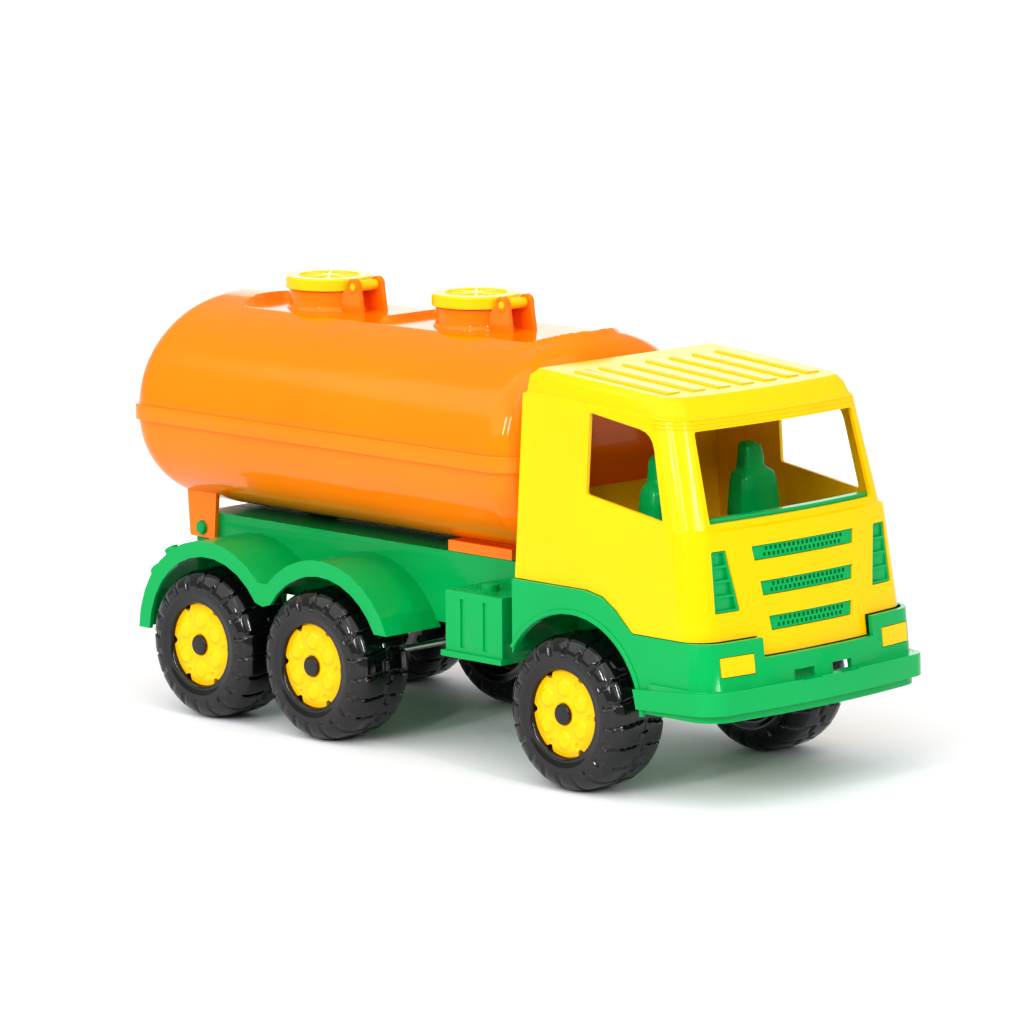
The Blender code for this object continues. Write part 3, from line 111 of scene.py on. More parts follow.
def rounded(corners, radii, steps=6):
    """A closed outline whose corners become short curves that touch both sides.

    Each curve is a parabola: (1-t)^2 start + 2t(1-t) corner + t^2 end.
    """
    corners = np.array(corners, float)
    radii = np.broadcast_to(np.array(radii, float), len(corners))[:, None]
    before, after = np.roll(corners, 1, 0) - corners, np.roll(corners, -1, 0) - corners
    before /= np.linalg.norm(before, axis=1, keepdims=True)
    after /= np.linalg.norm(after, axis=1, keepdims=True)
    t = np.linspace(0, 1, steps)[None, :, None]
    start, end = (corners + before * radii)[:, None], (corners + after * radii)[:, None]
    curve = (1 - t) ** 2 * start + 2 * t * (1 - t) * corners[:, None] + t ** 2 * end
    return curve.reshape(-1, 2)


def carried(outline, axis, low, high):
    """An outline of two coordinates carried along the third, with a flat face at each end."""
    outline = np.array(outline, float)
    along = np.array([[low], [high]])
    points, quads = grid(on_axes(along, outline[:, 0], outline[:, 1], axis), False, True)
    count = len(outline)
    ends = [list(range(count)), list(range(2 * count - 1, count - 1, -1))]
    return points, quads.tolist() + ends


def box_outline(left, right, bottom, top):
    return [(left, bottom), (right, bottom), (right, top), (left, top)]


def cuboid(low, high):
    """A plain block between two corners, to be rounded by a Bevel modifier."""
    outline = box_outline(low[0], high[0], low[1], high[1])
    return carried(outline, "Z", low[2], high[2])


def swept(stations):
    """A closed section at each station of a path, with flat ends: (station, section, xyz)."""
    points, quads = grid(stations, False, True)
    count = stations.shape[1]
    last = len(points) - count
    ends = [list(range(count)), list(range(last + count - 1, last - 1, -1))]
    return points, quads.tolist() + ends


# %% [markdown]
# ## From arrays to objects
#
# A helper puts the arrays into a mesh, merges the seams and turns the faces outward. The object
# stays at the origin with its place in its mesh. Another copies a plain solid of the frame, joins
# its loose triangles and rounds its edges, which suits a shape that is already right.

# %% Making a piece
def tidy_mesh(name, parts):
    """One mesh from several (points, faces), merged and facing outward."""
    points, faces, start = [], [], 0
    for part_points, part_faces in parts:
        part_faces = part_faces.tolist() if isinstance(part_faces, np.ndarray) else part_faces
        faces += [[corner + start for corner in face] for face in part_faces]
        points.append(part_points)
        start += len(part_points)
    mesh = bpy.data.meshes.new(name)
    mesh.from_pydata(np.concatenate(points), [], faces)
    work = bmesh.new()
    work.from_mesh(mesh)
    bmesh.ops.remove_doubles(work, verts=work.verts, dist=1e-6)
    bmesh.ops.dissolve_degenerate(work, edges=work.edges, dist=1e-7)
    bmesh.ops.recalc_face_normals(work, faces=work.faces)
    work.to_mesh(mesh)
    work.free()
    return mesh


def dressed(made, finish, body, replaces=(), slot=None, bevel=0.0, steps=2, sharp=35):
    """Gives a mesh object its finish, its rounded edges and the body that it rides on."""
    made.data.materials.clear()
    made.data.materials.append(finish)
    made.data.shade_smooth()
    made.data.set_sharp_from_angle(angle=math.radians(sharp))
    if bevel:
        edge = made.modifiers.new("rounded edges", "BEVEL")
        edge.width, edge.segments, edge.limit_method = bevel, steps, "ANGLE"
        edge.angle_limit, edge.harden_normals = math.radians(sharp), True
    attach(made, body)
    if replaces:
        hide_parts(*replaces)
    print(f"{made.name}: {len(made.data.polygons)} faces on {body}")
    return made


def new_object(name, mesh):
    made = bpy.data.objects.new(name, mesh)
    bpy.context.scene.collection.objects.link(made)
    return made


def piece(name, parts, finish, body, **choices):
    return dressed(new_object(name, tidy_mesh(name, parts)), finish, body, **choices)


def merged_copy(node):
    """A copy of a frame solid as one joined mesh, its flat areas each one face."""
    mesh = frame["nodes"][node].data.copy()
    work = bmesh.new()
    work.from_mesh(mesh)
    bmesh.ops.remove_doubles(work, verts=work.verts, dist=3e-6)
    bmesh.ops.dissolve_limit(work, angle_limit=math.radians(0.6),
                             verts=work.verts, edges=work.edges)
    work.to_mesh(mesh)
    work.free()
    return mesh


# %% [markdown]
# ## Camera, floor and light
#
# The toy stands on a white sweep in a bright, even room. A long lens from the front right keeps
# the lines nearly parallel. The world and two broad lights give the even light. A pale wall behind
# the toy shows in its roof and in the top of its tank, and three narrow soft boxes add the streaks
# that glossy plastic shows along its rounded edges.

# %% Camera
AZIMUTH, ELEVATION, ROLL = (math.radians(v) for v in (45.13, 9.41, -0.37))
CAMERA_PLACE = Vector((2.1884, -2.1798, 0.6365))
LENS, SENSOR = 200.4, 36
back = Vector((math.sin(AZIMUTH) * math.cos(ELEVATION),
               -math.cos(AZIMUTH) * math.cos(ELEVATION), math.sin(ELEVATION)))
level = Vector((math.cos(AZIMUTH), math.sin(AZIMUTH), 0))
upward = back.cross(level)
across = level * math.cos(ROLL) + upward * math.sin(ROLL)
upright = -level * math.sin(ROLL) + upward * math.cos(ROLL)
camera = bpy.data.objects.new("camera", bpy.data.cameras.new("camera"))
camera.data.lens, camera.data.sensor_width = LENS, SENSOR
turn = Matrix((across, upright, back)).transposed().to_4x4()
camera.matrix_world = Matrix.Translation(CAMERA_PLACE) @ turn
bpy.context.scene.collection.objects.link(camera)
bpy.context.scene.camera = camera
print("lens:", LENS)

# %% Floor and light
FLOOR_HALF = 15.0


def settings(node, **values):
    """Sets a node's sockets by name; an underscore in the word stands for a space."""
    for word, value in values.items():
        node.inputs[word.replace("_", " ")].default_value = value


def new_material(name):
    made = bpy.data.materials.new(name)
    made.use_nodes = True
    nodes = made.node_tree.nodes
    return made, nodes, made.node_tree.links, nodes["Principled BSDF"]


def plain_finish(name, colour, roughness):
    """One even colour, for the floor only."""
    made, _, _, shader = new_material(name)
    settings(shader, Base_Color=(*colour, 1), Roughness=roughness)
    return made


side = np.array([-FLOOR_HALF, FLOOR_HALF])
sheet = grid(on_axes(np.zeros((2, 2)), side[:, None], side[None, :], "Z"))
floor = new_object("floor", tidy_mesh("floor", [sheet]))
floor.data.materials.append(plain_finish("white_sweep", (0.93, 0.935, 0.94), 0.60))
floor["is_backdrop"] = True

world = bpy.data.worlds.new("bright_room")
world.use_nodes = True
settings(world.node_tree.nodes["Background"], Color=(0.97, 0.985, 1.0, 1), Strength=0.49)
bpy.context.scene.world = world
bpy.context.scene.view_settings.view_transform = "Standard"
bpy.context.scene.view_settings.look = "Medium High Contrast"


LIGHT_AIM = Vector((0, 0, 0.12))


def soft_box(name, place, width, height, power):
    """A rectangular light aimed at the middle of the toy."""
    light = bpy.data.lights.new(name, "AREA")
    light.shape, light.size, light.size_y, light.energy = "RECTANGLE", width, height, power
    made = bpy.data.objects.new(name, light)
    aim = LIGHT_AIM - Vector(place)
    made.rotation_mode = "QUATERNION"
    made.rotation_quaternion = aim.to_track_quat("-Z", "Y")
    made.location = place
    bpy.context.scene.collection.objects.link(made)
    return made


def broad_light(name, direction, strength, spread):
    """Even light from far away, soft because it comes from a wide disc of the sky."""
    light = bpy.data.lights.new(name, "SUN")
    light.energy, light.angle = strength, math.radians(spread)
    made = bpy.data.objects.new(name, light)
    made.rotation_mode = "QUATERNION"
    made.rotation_quaternion = Vector(direction).to_track_quat("Z", "Y")
    bpy.context.scene.collection.objects.link(made)


broad_light("room_left", (-0.35, -1.0, 1.25), 1.12, 70)
broad_light("room_right", (1.0, -0.15, 1.3), 0.92, 70)
soft_box("back_wall", (-3.2, 3.2, 0.9), 5.0, 1.6, 24).visible_camera = False
soft_box("streak_left", (0.55, -2.7, 1.5), 0.10, 0.9, 15)
soft_box("streak_middle", (1.25, -2.5, 1.5), 0.08, 0.9, 12)
soft_box("streak_right", (2.7, -0.6, 1.6), 0.10, 0.9, 15)
print("lights:", sorted(light.name for light in bpy.data.lights))

# %% [markdown]
# ## Moulded plastic
#
# Injection-moulded polypropylene is glossy but never perfect: pigment clouds drift slowly through
# it, the skin has a faint orange-peel ripple, and handling leaves hairline scratches. Rounded edges
# also get a painted highlight, their colour blended towards a paler tone. All of this is one node
# group, so the green, yellow, orange and black mouldings share it and differ only in their own values.

# %% The plastic group
CLOUD_SCALE, PEEL_SCALE = 16.0, 420.0
# Radius and strength of the painted highlight on rounded edges.
PAINTED_HIGHLIGHT_RADIUS, PAINTED_HIGHLIGHT_STRENGTH = 0.0009, 0.45
PEEL_HEIGHT, SCRATCH_DEPTH, SCRATCH_ROUGHNESS = 0.35, 0.5, 0.16


def moulded_group():
    """Colour, roughness and height of a moulded skin, each varied by noise, with a painted edge
    highlight.
    """
    group = bpy.data.node_groups.new("moulded_plastic", "ShaderNodeTree")
    for name, kind in (("Colour", "NodeSocketColor"), ("Cloud Colour", "NodeSocketColor"),
                       ("Edge Colour", "NodeSocketColor"), ("Roughness", "NodeSocketFloat"),
                       ("Scratches", "NodeSocketFloat")):
        group.interface.new_socket(name, in_out="INPUT", socket_type=kind)
    for name, kind in (("Colour", "NodeSocketColor"), ("Roughness", "NodeSocketFloat"),
                       ("Height", "NodeSocketFloat")):
        group.interface.new_socket(name, in_out="OUTPUT", socket_type=kind)
    nodes, links = group.nodes, group.links
    given, result = nodes.new("NodeGroupInput"), nodes.new("NodeGroupOutput")
    place = nodes.new("ShaderNodeTexCoord").outputs["Object"]

    def noise(scale, detail, source):
        made = nodes.new("ShaderNodeTexNoise")
        settings(made, Scale=scale, Detail=detail)
        links.new(source, made.inputs["Vector"])
        return made.outputs["Fac"]

    def remap(source, low, high, new_low, new_high):
        made = nodes.new("ShaderNodeMapRange")
        settings(made, From_Min=low, From_Max=high, To_Min=new_low, To_Max=new_high)
        links.new(source, made.inputs["Value"])
        return made.outputs["Result"]

    def combine(operation, first, second):
        made = nodes.new("ShaderNodeMath")
        made.operation = operation
        for socket, value in zip(made.inputs, (first, second)):
            if isinstance(value, (int, float)):
                socket.default_value = value
            else:
                links.new(value, socket)
        return made.outputs["Value"]

    def blend(amount, first, second):
        made = nodes.new("ShaderNodeMix")
        made.data_type = "RGBA"
        links.new(amount, made.inputs["Factor"])
        links.new(first, made.inputs["A"])
        links.new(second, made.inputs["B"])
        return made.outputs["Result"]

    def hairlines(stretch, seed):
        mapping = nodes.new("ShaderNodeMapping")
        settings(mapping, Scale=stretch, Location=(seed, seed * 0.7, seed * 1.3),
                 Rotation=(seed * 0.4, seed * 0.3, seed * 0.9))
        links.new(place, mapping.inputs["Vector"])
        return remap(noise(1.0, 2.0, mapping.outputs["Vector"]), 0.715, 0.73, 0.0, 1.0)

    clouds = remap(noise(CLOUD_SCALE, 3.0, place), 0.35, 0.70, 0.0, 1.0)
    peel = noise(PEEL_SCALE, 1.0, place)
    lines = combine("MAXIMUM", hairlines((30, 900, 700), 1.0), hairlines((800, 40, 900), 2.4))
    lines = combine("MULTIPLY", lines, given.outputs["Scratches"])
    # Painted highlight: where the Bevel node's rounded normal turns away from the true normal, the edge
    # is found.
    geometry = nodes.new("ShaderNodeNewGeometry")
    rounding = nodes.new("ShaderNodeBevel")
    rounding.samples = 4
    settings(rounding, Radius=PAINTED_HIGHLIGHT_RADIUS)
    dot = nodes.new("ShaderNodeVectorMath")
    dot.operation = "DOT_PRODUCT"
    links.new(rounding.outputs["Normal"], dot.inputs[0])
    links.new(geometry.outputs["Normal"], dot.inputs[1])
    edge = remap(dot.outputs["Value"], 0.995, 0.86, 0.0, 1.0)
    colour = blend(clouds, given.outputs["Colour"], given.outputs["Cloud Colour"])
    # Painted highlight: the found edges are blended towards the paler highlight colour.
    colour = blend(combine("MULTIPLY", edge, PAINTED_HIGHLIGHT_STRENGTH), colour, given.outputs["Edge Colour"])
    rough = combine("ADD", given.outputs["Roughness"], remap(peel, 0.3, 0.7, -0.03, 0.03))
    rough = combine("ADD", rough, combine("MULTIPLY", clouds, 0.03))
    rough = combine("ADD", rough, combine("MULTIPLY", lines, SCRATCH_ROUGHNESS))
    height = combine("SUBTRACT", combine("MULTIPLY", peel, PEEL_HEIGHT),
                     combine("MULTIPLY", lines, SCRATCH_DEPTH))
    links.new(colour, result.inputs["Colour"])
    links.new(rough, result.inputs["Roughness"])
    links.new(height, result.inputs["Height"])
    return group


MOULDED = moulded_group()


RIPPLE, PLASTIC_IOR = 0.00012, 1.49


def plastic(name, colour, cloud, edge, roughness, scratches, bump, gloss=0.24):
    """A glossy moulded plastic with its own colour, cloudiness and painted edge highlight."""
    made, nodes, links, shader = new_material(name)
    skin = nodes.new("ShaderNodeGroup")
    skin.node_tree = MOULDED
    settings(skin, Colour=(*colour, 1), Cloud_Colour=(*cloud, 1), Edge_Colour=(*edge, 1),
             Roughness=roughness, Scratches=scratches)
    ripple = nodes.new("ShaderNodeBump")
    settings(ripple, Strength=bump, Distance=RIPPLE)
    for start, out, end, into in ((skin, "Colour", shader, "Base Color"),
                                  (skin, "Roughness", shader, "Roughness"),
                                  (skin, "Height", ripple, "Height"),
                                  (ripple, "Normal", shader, "Normal")):
        links.new(start.outputs[out], end.inputs[into])
    settings(shader, IOR=PLASTIC_IOR, Specular_IOR_Level=gloss)
    return made


# The third colour of each plastic is its painted highlight, the paler tone its rounded edges are
# blended towards.
GREEN = plastic("green_moulding", (0.0, 0.385, 0.095), (0.0, 0.36, 0.088), (0.0, 0.46, 0.14),
                0.15, 0.25, 0.07)
YELLOW = plastic("yellow_moulding", (1.0, 0.565, 0.0), (0.98, 0.54, 0.0), (1.0, 0.62, 0.0),
                 0.15, 0.25, 0.07)
ORANGE = plastic("orange_moulding", (1.0, 0.225, 0.0), (0.98, 0.210, 0.0), (1.0, 0.29, 0.0),
                 0.09, 0.25, 0.07, gloss=0.30)
BLACK = plastic("tyre_moulding", (0.0035, 0.0035, 0.0042), (0.0045, 0.0045, 0.0052),
                (0.008, 0.008, 0.010), 0.09, 0.3, 0.06, gloss=0.60)
print("plastics:", GREEN.name, YELLOW.name, ORANGE.name, BLACK.name)

# %% [markdown]
# ## Steel axles
#
# The axles are drawn steel rod. Drawing leaves fine lines along the rod and a soft sheen, so the
# roughness follows a noise stretched along the axle's direction.

# %% Steel
DRAWN_LINES = (2600, 30, 2600)


def steel(name):
    """Bare metal whose tone and roughness follow lines drawn out along Y."""
    made, nodes, links, shader = new_material(name)
    place = nodes.new("ShaderNodeTexCoord")
    mapping = nodes.new("ShaderNodeMapping")
    settings(mapping, Scale=DRAWN_LINES)
    lines = nodes.new("ShaderNodeTexNoise")
    settings(lines, Scale=1.0)
    spread = nodes.new("ShaderNodeMapRange")
    settings(spread, To_Min=0.22, To_Max=0.42)
    tone = nodes.new("ShaderNodeValToRGB")
    tone.color_ramp.elements[0].color = (0.46, 0.47, 0.49, 1)
    tone.color_ramp.elements[1].color = (0.70, 0.71, 0.73, 1)
    links.new(place.outputs["Object"], mapping.inputs["Vector"])
    links.new(mapping.outputs["Vector"], lines.inputs["Vector"])
    links.new(lines.outputs["Fac"], spread.inputs["Value"])
    links.new(lines.outputs["Fac"], tone.inputs["Fac"])
    links.new(spread.outputs["Result"], shader.inputs["Roughness"])
    links.new(tone.outputs["Color"], shader.inputs["Base Color"])
    settings(shader, Metallic=1.0)
    return made


STEEL = steel("drawn_steel")
print("metal:", STEEL.name)

# %% [markdown]
# ## Wheels
#
# Each wheel is a hollow black tyre moulding round a yellow hub. The tyre is a ring whose radius
# is a function of the angle and of the place across the tread: narrow slanting grooves across a
# rounded crown, a zigzag groove in the middle, small blocks at the shoulders and a smooth
# sidewall. Sculpting it would need every lug by hand; one formula keeps them all the same.

# %% Tyres
LUGS = 20
SAMPLES_PER_LUG = 20
LUG_DEPTH = 0.0014
LUG_SLANT = 0.22
SHOULDER = 0.0095
SHOULDER_BLOCK = 0.0009
CROWN = 0.0005
WALL_DISH = 0.0008
ZIGZAG = 0.10


def soft_step(x, low, high):
    """0 below low, 1 above high, and a smooth 3t^2 - 2t^3 between them."""
    t = np.clip((x - low) / (high - low), 0, 1)
    return t * t * (3 - 2 * t)


def tyre_surface(centre_x, centre_z, radius, bore, outer_y, inner_y):
    """A ring: the profile of (radius, depth) runs over wall, round shoulder, crown and back.

    Crown: the radius falls with the square of the distance from the middle. Grooves: the radius is
    lowered where a wave round the wheel, slanted by the distance from the middle, peaks, and where
    a zigzag line runs round the middle. Shoulder blocks stand out sideways between the grooves.
    """
    width = outer_y - inner_y
    span = abs(width)
    t = np.linspace(0, 1, 24)
    corner = np.linspace(0, np.pi / 2, 12)[1:-1]
    wall = np.stack([bore + (radius - SHOULDER - bore) * t ** 0.8,
                     WALL_DISH * (1 - soft_step(t, 0.0, 0.6))], -1)
    bend = np.stack([radius - SHOULDER + SHOULDER * np.sin(corner),
                     SHOULDER * (1 - np.cos(corner))], -1)
    bend[:, 0] -= CROWN * corner / np.pi * 2
    half = np.concatenate([[[bore, 2 * WALL_DISH]], wall[1:], bend])
    tread_across = np.linspace(SHOULDER, span - SHOULDER, 26)
    tread = np.stack([radius - CROWN * np.abs(tread_across / span * 2 - 1) ** 2, tread_across], -1)
    other = half[::-1] * [1, -1] + [0, span]
    profile = np.concatenate([half, tread, other])
    r, depth = profile[:, :1], profile[:, 1:]
    count = LUGS * SAMPLES_PER_LUG
    angle = np.linspace(0, 2 * np.pi, count, endpoint=False)[None, :]
    lug = angle * LUGS / (2 * np.pi)
    across = depth / span * 2 - 1
    phase = np.abs(((lug + LUG_SLANT * np.abs(across)) % 1) - 0.5) * 2
    on_tread = soft_step(r, radius - SHOULDER * 0.95, radius - SHOULDER * 0.55)
    gap = soft_step(phase, 0.84, 0.94) * soft_step(np.abs(across), 0.10, 0.16)
    zigzag = np.abs(across - ZIGZAG * np.sign((lug % 1) - 0.5))
    middle = 0.8 * (1 - soft_step(zigzag, 0.05, 0.09))
    lowered = r - LUG_DEPTH * on_tread * np.maximum(gap, middle)
    step = SHOULDER_BLOCK * soft_step(r, radius - SHOULDER * 1.15, radius - SHOULDER * 1.0) * (
        1 - soft_step(r, radius - SHOULDER * 0.7, radius - SHOULDER * 0.4))
    block = step * (1 - soft_step(phase, 0.62, 0.72))
    out = np.sign(span / 2 - depth)
    place = outer_y - np.sign(width) * (depth + 0 * angle - out * (block - step))
    points = on_axes(place, centre_x + lowered * np.cos(angle), centre_z + lowered * np.sin(angle), "Y")
    return grid(points, True, True)


# %% Hubs
HUB_NOTCHES = 6
NOTCH_DEPTH = 0.0024
PETAL_RING, PETAL_HEIGHT = 0.0142, 0.0012
SCOOP_RING, SCOOP_DEPTH = 0.0190, 0.0010
CAP_RING, HUB_BACK, HUB_LIP = 0.0005, 0.0045, 0.0006


def hub_surface(centre_x, centre_z, radius, pocket, face_y, side):
    """A disc whose rim has six notches and whose face carries six round petals.

    Height over the disc: petals are cosine mounds midway between the notches, each notch is a
    scoop at the rim, and a low ring stands round the cap.
    """
    angle = np.linspace(0, 2 * np.pi, 288, endpoint=False)[None, :]
    share = np.linspace(0, 1, 44)[:, None]
    share_round, pitch = angle * HUB_NOTCHES / (2 * np.pi), 2 * np.pi / HUB_NOTCHES
    notch = np.abs((share_round % 1) - 0.5) * 2
    rim = radius - NOTCH_DEPTH * soft_step(notch, 0.78, 0.93)
    r = pocket + (rim - pocket) * share
    x, z = r * np.cos(angle), r * np.sin(angle)
    petal_angle = (np.floor(share_round) + 0.5) * pitch
    from_petal = np.hypot(x - PETAL_RING * np.cos(petal_angle), z - PETAL_RING * np.sin(petal_angle))
    petals = PETAL_HEIGHT * (1 - soft_step(from_petal, 0.0034, 0.0058))
    scoop_angle = np.round(share_round) * pitch
    from_scoop = np.hypot(x - SCOOP_RING * np.cos(scoop_angle), z - SCOOP_RING * np.sin(scoop_angle))
    scoop = -SCOOP_DEPTH * (1 - soft_step(from_scoop, 0.0014, 0.0024))
    ring = CAP_RING * soft_step(r, pocket, pocket + 0.0006) * (
        1 - soft_step(r, pocket + 0.0020, pocket + 0.0028))
    dish = -SCOOP_DEPTH * soft_step(r, SCOOP_RING, radius)
    height = petals + scoop + ring + dish - PETAL_HEIGHT
    front = on_axes(face_y + side * height, centre_x + x, centre_z + z, "Y")
    rows = [front]
    for factor in (1.0, pocket / radius * 1.3):
        rows.append(on_axes(face_y - side * HUB_BACK + 0 * x[-1:], centre_x + factor * x[-1:],
                            centre_z + factor * z[-1:], "Y"))
    inner = pocket * np.stack([np.cos(angle), np.sin(angle)])
    for depth in (HUB_BACK, HUB_LIP):
        rows.append(on_axes(face_y - side * depth + 0 * inner[0], centre_x + inner[0],
                            centre_z + inner[1], "Y"))
    return grid(np.concatenate(rows), True, True)


# %% Wheels on their axles
def arc_profile(radius, edge, low, high):
    """A solid disc's half profile with its two outer edges rounded."""
    t = np.linspace(0, np.pi / 2, 6)
    lower = np.stack([radius - edge + edge * np.sin(t), low + edge - edge * np.cos(t)], -1)
    upper = np.stack([radius - edge + edge * np.cos(t), high - edge + edge * np.sin(t)], -1)
    return np.concatenate([[[0, low]], lower, upper, [[0, high]]])


BARREL_BORE, BARREL_RADIUS, BARREL_START, BARREL_LENGTH = 0.0023, 0.0072, 0.0035, 0.033
TYRE_FIT, BORE_FIT, CAP_FIT = 0.00005, 0.0003, 0.0002
BARREL = box_outline(BARREL_BORE, BARREL_RADIUS, 0.0, BARREL_LENGTH)

for axle in ("front", "middle", "rear"):
    body = axle + "_axle_set"
    low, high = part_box(axle + "_axle")
    axle_x, axle_z, rod = (low.x + high.x) / 2, (low.z + high.z) / 2, (high.z - low.z) / 2
    rod_profile = arc_profile(rod, 0.0005, low.y, high.y)
    piece(axle + "_axle_rod", [turned(rod_profile, (axle_x, 0, axle_z), "Y", 32)],
          STEEL, body, replaces=[axle + "_axle"], slot="axle_steel")
    for word, side in (("right", -1), ("left", 1)):
        low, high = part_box(f"{axle}_tyre_{word}")
        outer, inner = (low.y, high.y) if side < 0 else (high.y, low.y)
        radius = (high.z - low.z) / 2
        hub_low, hub_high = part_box(f"{axle}_hub_{word}")
        hub_radius = (hub_high.z - hub_low.z) / 2
        hub_face = hub_low.y if side < 0 else hub_high.y
        cap_low, cap_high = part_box(f"{axle}_cap_{word}")
        cap_radius = (cap_high.z - cap_low.z) / 2
        tyre = tyre_surface(axle_x, axle_z, radius - TYRE_FIT, hub_radius + BORE_FIT, outer, inner)
        piece(f"{axle}_tread_{word}", [tyre], BLACK, body, replaces=[f"{axle}_tyre_{word}"],
              slot="tyre_black", sharp=60)
        barrel_end = hub_face - side * (BARREL_START + (BARREL_LENGTH if side > 0 else 0))
        barrel = turned(BARREL, (axle_x, barrel_end, axle_z), "Y", 40)
        hub = hub_surface(axle_x, axle_z, hub_radius, cap_radius + CAP_FIT, hub_face, side)
        piece(f"{axle}_hub_disc_{word}", [hub, barrel], YELLOW, body,
              replaces=[f"{axle}_hub_{word}"], slot="yellow_plastic", sharp=50)
        cap = arc_profile(cap_radius, 0.0009, cap_low.y, cap_high.y)
        piece(f"{axle}_end_cap_{word}", [turned(cap, (axle_x, 0, axle_z), "Y", 48)], BLACK, body,
              replaces=[f"{axle}_cap_{word}"], slot="tyre_black", sharp=60)

# %% [markdown]
# ## The tank
#
# The tank is two half shells that meet at a raised band. The section is a superellipse, a little
# squarer than an ellipse, and both ends are nearly flat with generous corners. A grid over length
# and section angle makes each half in one sheet, and Solidify gives the wall. The sunk tray, its
# cross rib and its crescent ends are one height function over the plan of the roof. The hatch
# holes are left out of the same grid, and turned necks stand over them.

# %% Tank sizes
TANK_WALL = 0.0022
SEAM_SKIRT = 0.0040
BAND_HEIGHT = 0.0090
TANK_CORNER = 0.0200
ROUNDNESS = 2.15
upper_low, upper_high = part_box("tank_upper_shell")
LEG_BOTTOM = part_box("tank_lower_shell")[0].z
BAND_PROUD = 0.0020
BAND_TRIM = 0.0005
SEAM = upper_low.z + SEAM_SKIRT
TANK_HALF = upper_high.y - BAND_PROUD
TANK_FRONT = upper_high.x - BAND_PROUD + BAND_TRIM
TANK_REAR = upper_low.x + BAND_PROUD - BAND_TRIM
TANK_TOP = SEAM + 0.0640
TANK_BOTTOM = SEAM - 0.0568
END_BULGE = 0.0012
lids = {word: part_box("hatch_lid_" + word) for word in ("rear", "front")}
LID_RADIUS = (lids["rear"][1].y - lids["rear"][0].y) / 2
HATCH_X = {word: low.x + LID_RADIUS for word, (low, high) in lids.items()}
TRAY_FLOOR = TANK_TOP - 0.0045
NECK_RADIUS, NECK_WALL = 0.0225, 0.0020
NECK_RIM = TRAY_FLOOR + 0.0110
PIN_Z = NECK_RIM + 0.00375
PIN_OFFSET = 0.0300
print("tank from", round(TANK_REAR, 4), "to", round(TANK_FRONT, 4), "hatches", HATCH_X)


# %% Half shells
def tank_half(upper):
    """Rows run along the tank, columns round the half section.

    Each row shrinks the section by the tuck of a quarter circle near the ends, and past it the
    end face closes on the middle of the seam.
    """
    turn = np.linspace(0, np.pi / 2, 16)
    rear = np.stack([TANK_REAR + TANK_CORNER * (1 - np.sin(turn)),
                     TANK_CORNER * (1 - np.cos(turn))], -1)[::-1]
    straight = np.linspace(TANK_REAR + TANK_CORNER, TANK_FRONT - TANK_CORNER, 150)[1:-1]
    middle = np.stack([straight, 0 * straight], -1)
    front = rear[::-1] * [-1, 1] + [TANK_REAR + TANK_FRONT, 0]
    rows = np.concatenate([rear, middle, front])
    x, tuck = rows[:, :1], rows[:, 1:]
    angle = np.linspace(0, np.pi, 181) if upper else np.linspace(np.pi, 2 * np.pi, 121)
    angle = angle[None, :]
    cosine, sine = np.cos(angle), np.sin(angle)
    tall = (TANK_TOP - SEAM if upper else SEAM - TANK_BOTTOM) - tuck
    half = TANK_HALF - tuck
    y = half * np.sign(cosine) * np.abs(cosine) ** (2 / ROUNDNESS)
    z = SEAM + tall * np.sign(sine) * np.abs(sine) ** (2 / ROUNDNESS)
    body = on_axes(x + 0 * y, y, z, "X")
    caps = []
    for row, end in ((body[:1], False), (body[-1:], True)):
        share = np.linspace(1, 0, 14)[1:, None, None]
        centre = np.array([0, 0, SEAM])
        ring = row * [1, 0, 0] + centre + (row * [0, 1, 1] - centre) * share
        ring[..., 0] += END_BULGE * (1 - share[..., 0] ** 2) * (1 if end else -1)
        caps.append(ring if end else ring[::-1])
    return np.concatenate([caps[0], body, caps[1]])


TRAY_REAR, TRAY_FRONT, REAR_CURVE, FRONT_CURVE, WALL_RUN = 0.0400, 0.0160, 9.0, 14.0, 0.0014
RIB_AHEAD, RIB_RISE, CREST_RISE = 0.0080, 0.0030, 0.0016


def tray_height(points):
    """Lowers the crown to a flat tray between two crescent walls, leaving a cross rib and a ridge.

    Each wall stands at a fixed distance from its end plus a share of the width squared. Between
    the walls the height is the lower of crown and tray floor, and the rib and the ridge add theirs.
    """
    x, y, z = points[..., 0], points[..., 1], points[..., 2]
    rear_wall = TANK_REAR + TRAY_REAR + REAR_CURVE * y ** 2
    ridge = TANK_FRONT - TRAY_FRONT - FRONT_CURVE * y ** 2
    inside = soft_step(x, rear_wall, rear_wall + WALL_RUN) * (
        1 - soft_step(x, ridge - WALL_RUN, ridge))
    rib_x = (HATCH_X["rear"] + HATCH_X["front"]) / 2 + RIB_AHEAD
    rib = RIB_RISE * (1 - soft_step(np.abs(x - rib_x), 0.0016, 0.0032)) * (
        1 - soft_step(np.abs(y), 0.0205, 0.0230))
    floor = np.minimum(z, TRAY_FLOOR + rib)
    crest = CREST_RISE * (1 - soft_step(np.abs(x - ridge - 0.0022), 0.0010, 0.0034)) * (
        1 - soft_step(np.abs(y), 0.036, 0.044))
    lowered = points.copy()
    lowered[..., 2] = np.where(z > SEAM + 0.02, z * (1 - inside) + floor * inside + crest, z)
    return lowered


